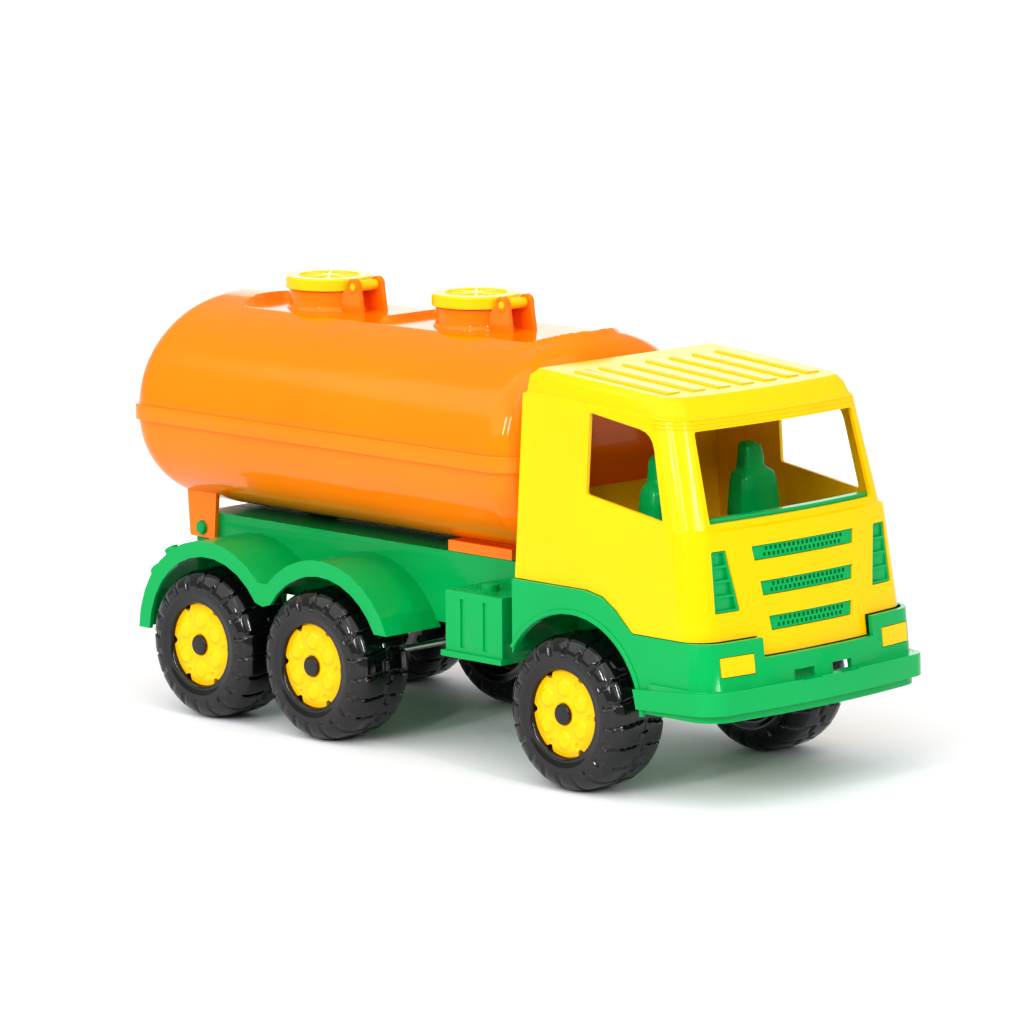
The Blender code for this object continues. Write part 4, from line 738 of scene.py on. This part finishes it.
def open_hatches(points, faces):
    """Snaps the points nearest each hatch circle onto it and drops the faces inside."""
    keep = np.ones(len(faces), bool)
    radius = NECK_RADIUS - NECK_WALL / 2
    for centre in HATCH_X.values():
        away = np.hypot(points[:, 0] - centre, points[:, 1])
        top = points[:, 2] > SEAM + 0.03
        near = top & (np.abs(away - radius) < 0.0011)
        scale = np.where(near, radius / np.maximum(away, 1e-9), 1.0)
        points[:, 0] = centre + (points[:, 0] - centre) * scale
        points[:, 1] *= scale
        middle = points[faces].mean(1)
        inside = np.hypot(middle[:, 0] - centre, middle[:, 1]) < radius
        keep &= ~(inside & (middle[:, 2] > SEAM + 0.03))
    return points, faces[keep]


def band_ring():
    """The seam band: a small rounded profile carried round a level rectangle with round corners."""
    steps = np.linspace(0, np.pi / 2, 14)
    half_x, half_y = (TANK_FRONT - TANK_REAR) / 2 - TANK_CORNER, TANK_HALF - TANK_CORNER
    middle_x = (TANK_FRONT + TANK_REAR) / 2
    angle = np.concatenate([steps + k * np.pi / 2 for k in range(4)])
    sign_x = np.repeat([1, -1, -1, 1], len(steps))
    sign_y = np.repeat([1, 1, -1, -1], len(steps))
    low, high = SEAM - SEAM_SKIRT, SEAM - SEAM_SKIRT + BAND_HEIGHT
    section = rounded(box_outline(-TANK_WALL, BAND_PROUD, low, high),
                      [0.0003, 0.0006, 0.0012, 0.0003], 5)
    offset, height = section[:, :1], section[:, 1:]
    length = TANK_CORNER + np.minimum(offset, BAND_PROUD)
    x = middle_x + sign_x * half_x + length * np.cos(angle)
    y = sign_y * half_y + length * np.sin(angle)
    x = np.clip(x, upper_low.x, upper_high.x)
    return grid(on_axes(height + 0 * x, x, y, "Z"), True, True)


# %% Necks, ears and the two halves
EAR_SIDE, EAR_HALF, EAR_TOP, NECK_FLARE = 0.0090, 0.0015, 0.0046, 0.0016
EYELET, EYELET_BORE, EYELET_RISE = 0.0040, 0.0027, 0.0005


def neck(centre_x):
    """A turned neck with a flared foot and a rounded rim."""
    low = TRAY_FLOOR - TANK_WALL
    inner = NECK_RADIUS - NECK_WALL
    profile = rounded([(inner, low), (NECK_RADIUS + NECK_FLARE, low),
                       (NECK_RADIUS + NECK_FLARE - 0.0002, TRAY_FLOOR + 0.0004),
                       (NECK_RADIUS, TRAY_FLOOR + 0.0020), (NECK_RADIUS, NECK_RIM), (inner, NECK_RIM)],
                      [0.0002, 0.0002, 0.0006, 0.0010, 0.0005, 0.0005], 4)
    return turned(profile, (centre_x, 0, 0), "Z", 96)


def ear(centre_x, side):
    """One hinge ear: a plate with an arched top, and a raised eyelet round the pin."""
    pin_x = centre_x + PIN_OFFSET
    t = np.radians(np.linspace(-12, 186, 22))
    arch = np.stack([pin_x + EAR_TOP * np.cos(t), PIN_Z + EAR_TOP * np.sin(t)], -1)
    foot = np.array([(centre_x + NECK_RADIUS * 0.90, NECK_RIM - 0.0020),
                     (centre_x + NECK_RADIUS * 0.90, TRAY_FLOOR - 0.0010),
                     (pin_x + 0.0068, TRAY_FLOOR - 0.0010)])
    middle = side * EAR_SIDE
    plate = carried(np.concatenate([arch, foot]), "Y", middle - EAR_HALF, middle + EAR_HALF)
    outer = middle + side * EAR_HALF
    eyelet = rounded(box_outline(EYELET_BORE, EYELET, 0.0, EYELET_RISE), 0.0001, 3)
    eyelet = np.stack([eyelet[:, 0], outer + side * (eyelet[:, 1] - 0.0001)], -1)
    return [plate, turned(eyelet, (pin_x, 0, PIN_Z), "Y", 32)]


def solidified(made, thickness):
    """Gives a single sheet its wall, inwards from the outer skin."""
    wall = made.modifiers.new("wall", "SOLIDIFY")
    wall.thickness, wall.offset = thickness, -1


skin_points, skin_faces = open_hatches(*grid(tray_height(tank_half(True))))
top_skin = piece("tank_top_skin", [(skin_points, skin_faces)], ORANGE, "tank",
                 replaces=["tank_upper_shell"], slot="orange_plastic", sharp=50)
solidified(top_skin, TANK_WALL)
piece("tank_seam_band", [band_ring()], ORANGE, "tank", slot="orange_plastic")
for word, x in HATCH_X.items():
    piece(f"hatch_neck_{word}", [neck(x)], ORANGE, "tank", slot="orange_plastic")
ears = [part for x in HATCH_X.values() for side in (-1, 1) for part in ear(x, side)]
piece("hatch_hinge_ears", ears, ORANGE, "tank", slot="orange_plastic", bevel=0.0004)

belly = piece("tank_belly_skin", [grid(tank_half(False))], ORANGE, "tank",
              replaces=["tank_lower_shell"], slot="orange_plastic", sharp=50)
solidified(belly, TANK_WALL)

# %% [markdown]
# The tank tips on two legs at the back, which snap over bosses on the chassis, and rests on a
# flat foot behind the cab. Each leg is a plate with a hole, so its outline is carried across the
# leg's thickness and the hole is the inner loop of the same grid.

# %% Legs and foot
LEG_INNER, LEG_THICKNESS = 0.0445, 0.0028
LEG_FOOT, LEG_HIP, HIP_BELOW_SEAM = 0.0103, 0.0126, 0.040
FOOT_SETBACK, FOOT_LENGTH, FOOT_HALF, FOOT_THICKNESS = 0.0345, 0.0490, 0.0440, 0.0059
hinge = next(joint for joint in frame["record"]["behaviour"]["joints"] if joint["name"] == "tank_tilt")
PIVOT = (hinge["pos_m"][0], hinge["pos_m"][2])
PIVOT_RADIUS = 0.0044
DECK_TOP, FOOT_GAP = 0.1078, 0.0003


def leg(side):
    """A tapering plate with a round hole: rows run from the hole's rim out to the plate's edge."""
    outline = rounded([(PIVOT[0] - LEG_FOOT, LEG_BOTTOM), (PIVOT[0] + LEG_FOOT, LEG_BOTTOM),
                       (PIVOT[0] + LEG_HIP, SEAM - HIP_BELOW_SEAM),
                       (PIVOT[0] - LEG_HIP, SEAM - HIP_BELOW_SEAM)],
                      [0.0012, 0.0012, 0.0002, 0.0002], 12)
    t = np.arctan2(outline[:, 1] - PIVOT[1], outline[:, 0] - PIVOT[0])
    hole = np.stack([PIVOT[0] + PIVOT_RADIUS * np.cos(t),
                     PIVOT[1] + PIVOT_RADIUS * np.sin(t)], -1)
    near, far = side * LEG_INNER, side * (LEG_INNER + LEG_THICKNESS)
    rows = [on_axes(np.full(len(t), y), edge[:, 0], edge[:, 1], "Y")
            for edge, y in ((hole, near), (hole, far), (outline, far), (outline, near))]
    return grid(np.stack(rows), True, True)


foot_front, foot_rear = TANK_FRONT - FOOT_SETBACK, TANK_FRONT - FOOT_SETBACK - FOOT_LENGTH
foot_top = DECK_TOP + FOOT_GAP + FOOT_THICKNESS
foot = cuboid((foot_rear, -FOOT_HALF, DECK_TOP + FOOT_GAP), (foot_front, FOOT_HALF, foot_top))
riser = cuboid((foot_rear + 0.002, -FOOT_HALF + 0.008, foot_top - 0.001),
               (foot_front - 0.002, FOOT_HALF - 0.008, foot_top + 0.006))
piece("tank_legs_and_foot", [leg(-1), leg(1), foot, riser], ORANGE, "tank",
      slot="orange_plastic", bevel=0.0005)

# %% [markdown]
# ## Hatch lids
#
# A lid is a shallow disc that plugs its neck. Its top has a rim band, spokes and a middle boss,
# given as a height over the disc. The knuckle and pin join it to the ears.

# %% Lids
LID_EDGE, LID_CROWN = 0.0012, 0.0003
LID_SINK, LID_SPOKES, SPOKE_RISE, BOSS_RISE = 0.0009, 8, 0.0007, 0.0009
SPIGOT_GAP, SPIGOT_LENGTH, SPIGOT_EDGE = 0.0008, 0.0023, 0.0006
KNUCKLE_HALF, KNUCKLE_RADIUS = 0.0070, 0.0030
PIN_HALF, PIN_RADIUS, ARM_HALF, PIN_EDGE = 0.0108, 0.0022, 0.0020, 0.0005


def lid_surface(centre_x, low, high):
    """Top: rim band, eight low spokes and a boss as a height over (radius, angle); then the side,
    the underside and the spigot that drops into the neck."""
    angle = np.linspace(0, 2 * np.pi, 192, endpoint=False)[None, :]
    r = np.linspace(0, LID_RADIUS - LID_EDGE, 60)[:, None]
    within = 1 - soft_step(r, 0.0168, 0.0178)
    sunk = -LID_SINK * within
    pitch = 2 * np.pi / LID_SPOKES
    from_spoke = np.abs(((angle / pitch + 0.5) % 1) - 0.5) * pitch * r
    spokes = SPOKE_RISE * (1 - soft_step(from_spoke, 0.0007, 0.0013)) * within
    boss = BOSS_RISE * (1 - soft_step(r, 0.0034, 0.0044))
    top = high - LID_CROWN + np.maximum(sunk + spokes, sunk + boss)
    top = np.minimum(top, high)
    rows = [on_axes(top + 0 * angle, centre_x + r * np.cos(angle), r * np.sin(angle), "Z")]
    t = np.linspace(0, np.pi / 2, 6)[1:]
    edge = np.stack([LID_RADIUS - LID_EDGE + LID_EDGE * np.sin(t),
                     high - LID_CROWN - LID_EDGE * (1 - np.cos(t))], -1)
    spigot = NECK_RADIUS - NECK_WALL - SPIGOT_GAP
    under = low + SPIGOT_LENGTH
    side = np.array([(LID_RADIUS, under + 0.0004), (LID_RADIUS - 0.0004, under), (spigot, under),
                     (spigot, low + SPIGOT_EDGE), (spigot - SPIGOT_EDGE, low), (0, low)])
    profile = np.concatenate([edge, side])
    radius, height = profile[:, :1], profile[:, 1:]
    rows.append(on_axes(height + 0 * angle, centre_x + radius * np.cos(angle),
                        radius * np.sin(angle), "Z"))
    return grid(np.concatenate(rows), False, True)


for word, (low, high) in lids.items():
    centre_x = HATCH_X[word]
    pin_x = centre_x + PIN_OFFSET
    arm = cuboid((centre_x + LID_RADIUS - 0.004, -KNUCKLE_HALF, PIN_Z - ARM_HALF),
                 (pin_x, KNUCKLE_HALF, PIN_Z + ARM_HALF))
    knuckle, hinge_pin = (
        turned(arc_profile(radius, PIN_EDGE, -half, half), (pin_x, 0, PIN_Z), "Y", 32)
        for radius, half in ((KNUCKLE_RADIUS, KNUCKLE_HALF), (PIN_RADIUS, PIN_HALF)))
    lid = lid_surface(centre_x, low.z, high.z)
    piece(f"{word}_lid_disc", [lid, arm, knuckle, hinge_pin], YELLOW, word + "_lid",
          replaces=["hatch_lid_" + word], slot="yellow_plastic", sharp=40)

# %% [markdown]
# ## Cab and chassis
#
# The cab's two mouldings and the chassis already have their true shape in the frame, so each is a
# joined copy whose edges are rounded like a mould's.

# %% Joined copies
COPIES = (("chassis", "chassis_moulding", GREEN, "green_plastic", 0.0010),
          ("cab_base", "cab_base_moulding", GREEN, "green_plastic", 0.0009),
          ("cab_shell", "cab_moulding", YELLOW, "yellow_plastic", 0.0006),
          ("headlamp_right", "lamp_lens_right", YELLOW, "yellow_plastic", 0.0004),
          ("headlamp_left", "lamp_lens_left", YELLOW, "yellow_plastic", 0.0004))
for node, name, finish, slot, edge in COPIES:
    dressed(new_object(name, merged_copy(node)), finish, "truck", replaces=[node], slot=slot,
            bevel=edge, sharp=32)
for number in range(1, 5):
    node = f"cab_screw_{number}"
    dressed(new_object(f"screw_{number}", merged_copy(node)), STEEL, "truck", replaces=[node],
            slot="axle_steel", bevel=0.0002)

# %% [markdown]
# ## Grille panel
#
# The green panel fills three slots in the cab's face with a fine mesh and two vents with stacked
# recesses. On the real moulding these are pits pushed in by pins of the mould. Here an array of
# small pins is cut out of a joined copy, which gives true holes with dark insides. One more
# column, upright this time, opens the rear of the dashboard's top plate.

# %% Front face of the cab
cab_low, cab_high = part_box("cab_shell")
axle_low, axle_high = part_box("front_axle")
FRONT_AXLE = (axle_low.x + axle_high.x) / 2
FACE_AHEAD, FACE_LEVEL, FACE_LEAN, BOW = 0.0896, 0.1350, 0.14, 1.0
PANEL_RECESS, PIN_REACH = 0.0010, 0.02


def face_x(y, z):
    """How far forward the cab's lower face is: leaning back with height, bowed with the width."""
    return FRONT_AXLE + FACE_AHEAD + (FACE_LEVEL - z) * FACE_LEAN - BOW * y * y


def pin(outline, depth):
    """A closed column along X whose inner end lies the given depth behind the panel's face."""
    outline = np.array(outline)
    y, z = outline.mean(0)
    start = face_x(y, z) - PANEL_RECESS - depth
    return carried(outline, "X", start, start + PIN_REACH)


def cut(made, pins):
    """The object's mesh with the pins taken out of it, as the mould leaves it."""
    cutter = new_object("pins", tidy_mesh("pins", pins))
    change = made.modifiers.new("pins", "BOOLEAN")
    change.object, change.operation, change.solver = cutter, "DIFFERENCE", "EXACT"
    done = bpy.data.meshes.new_from_object(made.evaluated_get(bpy.context.evaluated_depsgraph_get()))
    made.modifiers.clear()
    made.data = done
    bpy.data.objects.remove(cutter)
    return made


# %% Mesh holes and vent recesses
SLOTS, SLOT_TOP, SLOT_PITCH, SLOT_HEIGHT = 3, 0.1355, 0.01845, 0.0077
SLOT_HALF, SLOT_NARROWING, MESH_SHARE = 0.0394, 0.0036, 0.76
HOLE_PITCH, HOLE_HALF, HOLE_TALL, HOLE_LINE, HOLE_DEPTH = 0.0034, 0.0009, 0.0010, 0.0015, 0.0016
VENT_LOW, VENT_RECESSES, VENT_BAR, VENT_FRAME, VENT_DEPTH = 0.1035, 4, 0.0013, 0.0019, 0.0014
VENT_OUTER = ((SLOT_TOP, 0.0670), (VENT_LOW, 0.0685))
VENT_INNER = ((SLOT_TOP, 0.0570), (VENT_LOW, 0.0510))
pins = []
for row in range(SLOTS):
    middle = SLOT_TOP - row * SLOT_PITCH - SLOT_HEIGHT / 2
    reach = (SLOT_HALF - row * SLOT_NARROWING) * MESH_SHARE
    for line, shift in ((-1, 0.0), (1, 0.5)):
        z = middle + line * HOLE_LINE
        for y in np.arange(-reach, reach, HOLE_PITCH) + shift * HOLE_PITCH:
            pins.append(pin(box_outline(y - HOLE_HALF, y + HOLE_HALF, z - HOLE_TALL, z + HOLE_TALL),
                            HOLE_DEPTH))


def vent_edge(ends, z):
    """Where a slanting edge of the vent is at a height."""
    (high, top_y), (low, low_y) = ends
    return low_y + (top_y - low_y) * (z - low) / (high - low)


tall = (SLOT_TOP - VENT_LOW - VENT_BAR * (VENT_RECESSES + 1)) / VENT_RECESSES
for side in (-1, 1):
    for number in range(VENT_RECESSES):
        low_z = VENT_LOW + VENT_BAR + number * (tall + VENT_BAR)
        high_z = low_z + tall
        outline = [(side * (vent_edge(VENT_INNER, low_z) + VENT_FRAME), low_z),
                   (side * (vent_edge(VENT_OUTER, low_z) - VENT_FRAME), low_z),
                   (side * (vent_edge(VENT_OUTER, high_z) - VENT_FRAME), high_z),
                   (side * (vent_edge(VENT_INNER, high_z) + VENT_FRAME), high_z)]
        pins.append(pin(outline, VENT_DEPTH))

# %% Dashboard opening and the finished panel
PLATE_HALF, PLATE_FRONT, PLATE_REAR, PLATE_LOW, PLATE_HIGH = 0.0680, 0.0765, 0.0500, 0.1480, 0.1520
edge_y = np.linspace(-PLATE_HALF, PLATE_HALF, 17)
edge_x = FRONT_AXLE + PLATE_FRONT - BOW * edge_y ** 2
rear_corners = [(FRONT_AXLE + PLATE_REAR, PLATE_HALF), (FRONT_AXLE + PLATE_REAR, -PLATE_HALF)]
plate = np.concatenate([np.stack([edge_x, edge_y], -1), rear_corners])
pins.append(carried(plate, "Z", PLATE_LOW, PLATE_HIGH))
grille = cut(new_object("grille_moulding", merged_copy("dash_grille_panel")), pins)
dressed(grille, GREEN, "truck", replaces=["dash_grille_panel"], slot="green_plastic",
        bevel=0.0002, sharp=32)
print("grille pins:", len(pins))

# %% [markdown]
# ## Raised lines of the cab
#
# Low bands run along the roof to stiffen it, three fine beads run round the cab over the
# windscreen, and a rolled flange borders each front wheel arch. Each is a small section carried
# along a path: a straight one, the cab's level outline, or an arc about the wheel. A plain rib
# stiffens the bumper from inside, behind its tow slot.

# %% Roof bands
ROOF, ROOF_SLOPE = 0.2165, 0.08
BAND_COUNT, BAND_SPACING, BAND_HALF, BAND_RISE = 7, 0.0180, 0.0050, 0.0007
BAND_REAR, BAND_FRONT, BAND_ROOT = 0.0240, 0.0485, 0.0010


def roof_band(y):
    """A flat bar whose top follows the roof: its height falls by the slope times the distance."""
    front = cab_high.x - BAND_FRONT - BOW * y * y
    outline = rounded(box_outline(y - BAND_HALF, y + BAND_HALF, -BAND_ROOT, BAND_RISE),
                      [0.0001, 0.0001, 0.0004, 0.0004], 4)
    points, faces = carried(outline, "X", cab_low.x + BAND_REAR, front)
    points = points + np.stack([0 * points[:, 0], 0 * points[:, 0],
                                ROOF - ROOF_SLOPE * (points[:, 0] - FRONT_AXLE)], -1)
    return points, faces


bands = [roof_band((number - (BAND_COUNT - 1) / 2) * BAND_SPACING) for number in range(BAND_COUNT)]
piece("roof_bands", bands, YELLOW, "truck", slot="yellow_plastic", bevel=0.0003)

# %% Beads over the windscreen
CORNER = 0.0160
HALF_LOW, HALF_HIGH, SHELL_FOOT = 0.0800, 0.0725, 0.1083
SCREEN_AHEAD, BELT, SCREEN_LEAN = 0.0851, 0.1450, 0.27
BEAD_RISE, BEAD_FALL, BEAD_HEIGHTS = 0.0005, 0.04, (0.1998, 0.2019, 0.2040)


def level_line(z):
    """The cab's outline at a height, from side to side round the front: an arc of 90 degrees about
    each corner, and between them a bow that falls back with the square of the width."""
    half = HALF_LOW + (HALF_HIGH - HALF_LOW) * (z - SHELL_FOOT) / (ROOF - SHELL_FOOT) - CORNER
    front = FRONT_AXLE + SCREEN_AHEAD - SCREEN_LEAN * (z - BELT)
    turn = np.linspace(0, np.pi / 2 - 0.1, 14)
    middle = np.linspace(-half, half, 41)[1:-1]
    corner = np.stack([front - BOW * half ** 2 - CORNER + CORNER * np.sin(turn),
                       half + CORNER * np.cos(turn)], -1)
    centre = np.stack([front - BOW * middle ** 2, middle], -1)
    return np.concatenate([corner * [1, -1], centre, corner[::-1]])


def bead(z, rise):
    """A half-round bead on that outline: each station's section is a circle about the line."""
    line = level_line(z)
    ahead = np.gradient(line, axis=0)
    outward = np.stack([ahead[:, 1], -ahead[:, 0]], -1) / np.linalg.norm(ahead, axis=1, keepdims=True)
    angle = np.linspace(0, 2 * np.pi, 12, endpoint=False)
    plan = line[:, None] + outward[:, None] * (rise * np.cos(angle))[None, :, None]
    height = z - BEAD_FALL * (line[:, :1] - FRONT_AXLE) + rise * np.sin(angle)[None, :]
    return swept(np.concatenate([plan, height[..., None]], -1))


piece("windscreen_beads", [bead(z, BEAD_RISE) for z in BEAD_HEIGHTS], YELLOW, "truck",
      slot="yellow_plastic", sharp=60)

# %% Arch flanges and bumper rib
ARCH_RADIUS, FLANGE_WIDTH, BASE_HALF = 0.0500, 0.0028, 0.0825
ARCH_CENTRE = (FRONT_AXLE - 0.0010, 0.0440)
FLANGE_ROOT, FLANGE_RISE = 0.0012, 0.0011


def arch_flange(side):
    """A rounded bar about the wheel: radius and depth of the section, turned through the arc."""
    section = rounded(box_outline(ARCH_RADIUS, ARCH_RADIUS + FLANGE_WIDTH, -FLANGE_ROOT, FLANGE_RISE),
                      [0.0002, 0.0002, 0.0009, 0.0009], 5)
    angle = np.radians(np.linspace(148, 3, 70))[:, None]
    return swept(on_axes(side * (BASE_HALF + section[:, 1]) + 0 * angle,
                         ARCH_CENTRE[0] + section[:, 0] * np.cos(angle),
                         ARCH_CENTRE[1] + section[:, 0] * np.sin(angle), "Y"))


RIB_REAR, RIB_FRONT, RIB_HALF, RIB_LOW, RIB_HIGH = 0.0680, 0.0700, 0.0340, 0.0540, 0.0736
rib = cuboid((FRONT_AXLE + RIB_REAR, -RIB_HALF, RIB_LOW), (FRONT_AXLE + RIB_FRONT, RIB_HALF, RIB_HIGH))
piece("bumper_inner_rib", [rib], GREEN, "truck", slot="green_plastic", bevel=0.0004)
piece("arch_flanges", [arch_flange(-1), arch_flange(1)], GREEN, "truck",
      slot="green_plastic", sharp=50)

# %% [markdown]
# ## Seats
#
# Each seat back is a thick moulded block with round edges that narrows at the shoulders into a
# headrest. Its section at any height is a superellipse, and two curves over the height give its
# half width and its half depth, so one grid makes the whole back.

# %% Seat backs and bench
seat_low, seat_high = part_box("seats")
SEAT_SPACING, SEAT_HALF, SEAT_DEPTH, SEAT_FORWARD = 0.0690, 0.0162, 0.0160, 0.0075
BENCH_HEIGHT, BACK_SINK, BACK_LEAN, SQUARENESS = 0.0250, 0.006, 0.40, 4.5
HEIGHTS = [0.0, 0.40, 0.58, 0.68, 0.72, 0.745, 0.77, 0.88, 0.96, 1.0]
WIDTHS = [1.0, 0.95, 0.88, 0.80, 0.72, 0.55, 0.47, 0.43, 0.38, 0.20]
DEPTHS = [1.0, 0.96, 0.92, 0.86, 0.78, 0.66, 0.60, 0.56, 0.48, 0.22]


def seat_back(side):
    """Height t up the back; y and x are |cos| and |sin| raised to 2 / squareness, times the half
    width and the half depth at that height, which shrink to a point at both ends."""
    t = np.concatenate([np.linspace(0, 0.94, 60), np.linspace(0.945, 1, 14)])[:, None]
    wide, deep = (np.interp(t, HEIGHTS, values) for values in (WIDTHS, DEPTHS))
    ends = np.where((t == 0) | (t == 1), 0.0, 1.0)
    angle = np.linspace(0, 2 * np.pi, 64, endpoint=False)[None, :]
    power = 2 / SQUARENESS
    y = SEAT_HALF * wide * ends * np.sign(np.cos(angle)) * np.abs(np.cos(angle)) ** power
    x = SEAT_DEPTH / 2 * deep * ends * np.sign(np.sin(angle)) * np.abs(np.sin(angle)) ** power
    bottom = seat_low.z + BENCH_HEIGHT - BACK_SINK
    z = bottom + (seat_high.z - bottom) * t
    back = seat_low.x + SEAT_FORWARD + SEAT_DEPTH / 2 - SEAT_DEPTH * (1 - deep) * BACK_LEAN
    return grid(on_axes(z + 0 * x, back + x, side * SEAT_SPACING / 2 + y, "Z"), False, True)


bench = cuboid(seat_low, (seat_high.x, seat_high.y, seat_low.z + BENCH_HEIGHT))
piece("seat_moulding", [bench, seat_back(-1), seat_back(1)], GREEN, "truck", replaces=["seats"],
      slot="green_plastic", bevel=0.0015, steps=3, sharp=50)

# %% Visual size
low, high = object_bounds()
print("visual size:", [round(v, 4) for v in (high - low)])
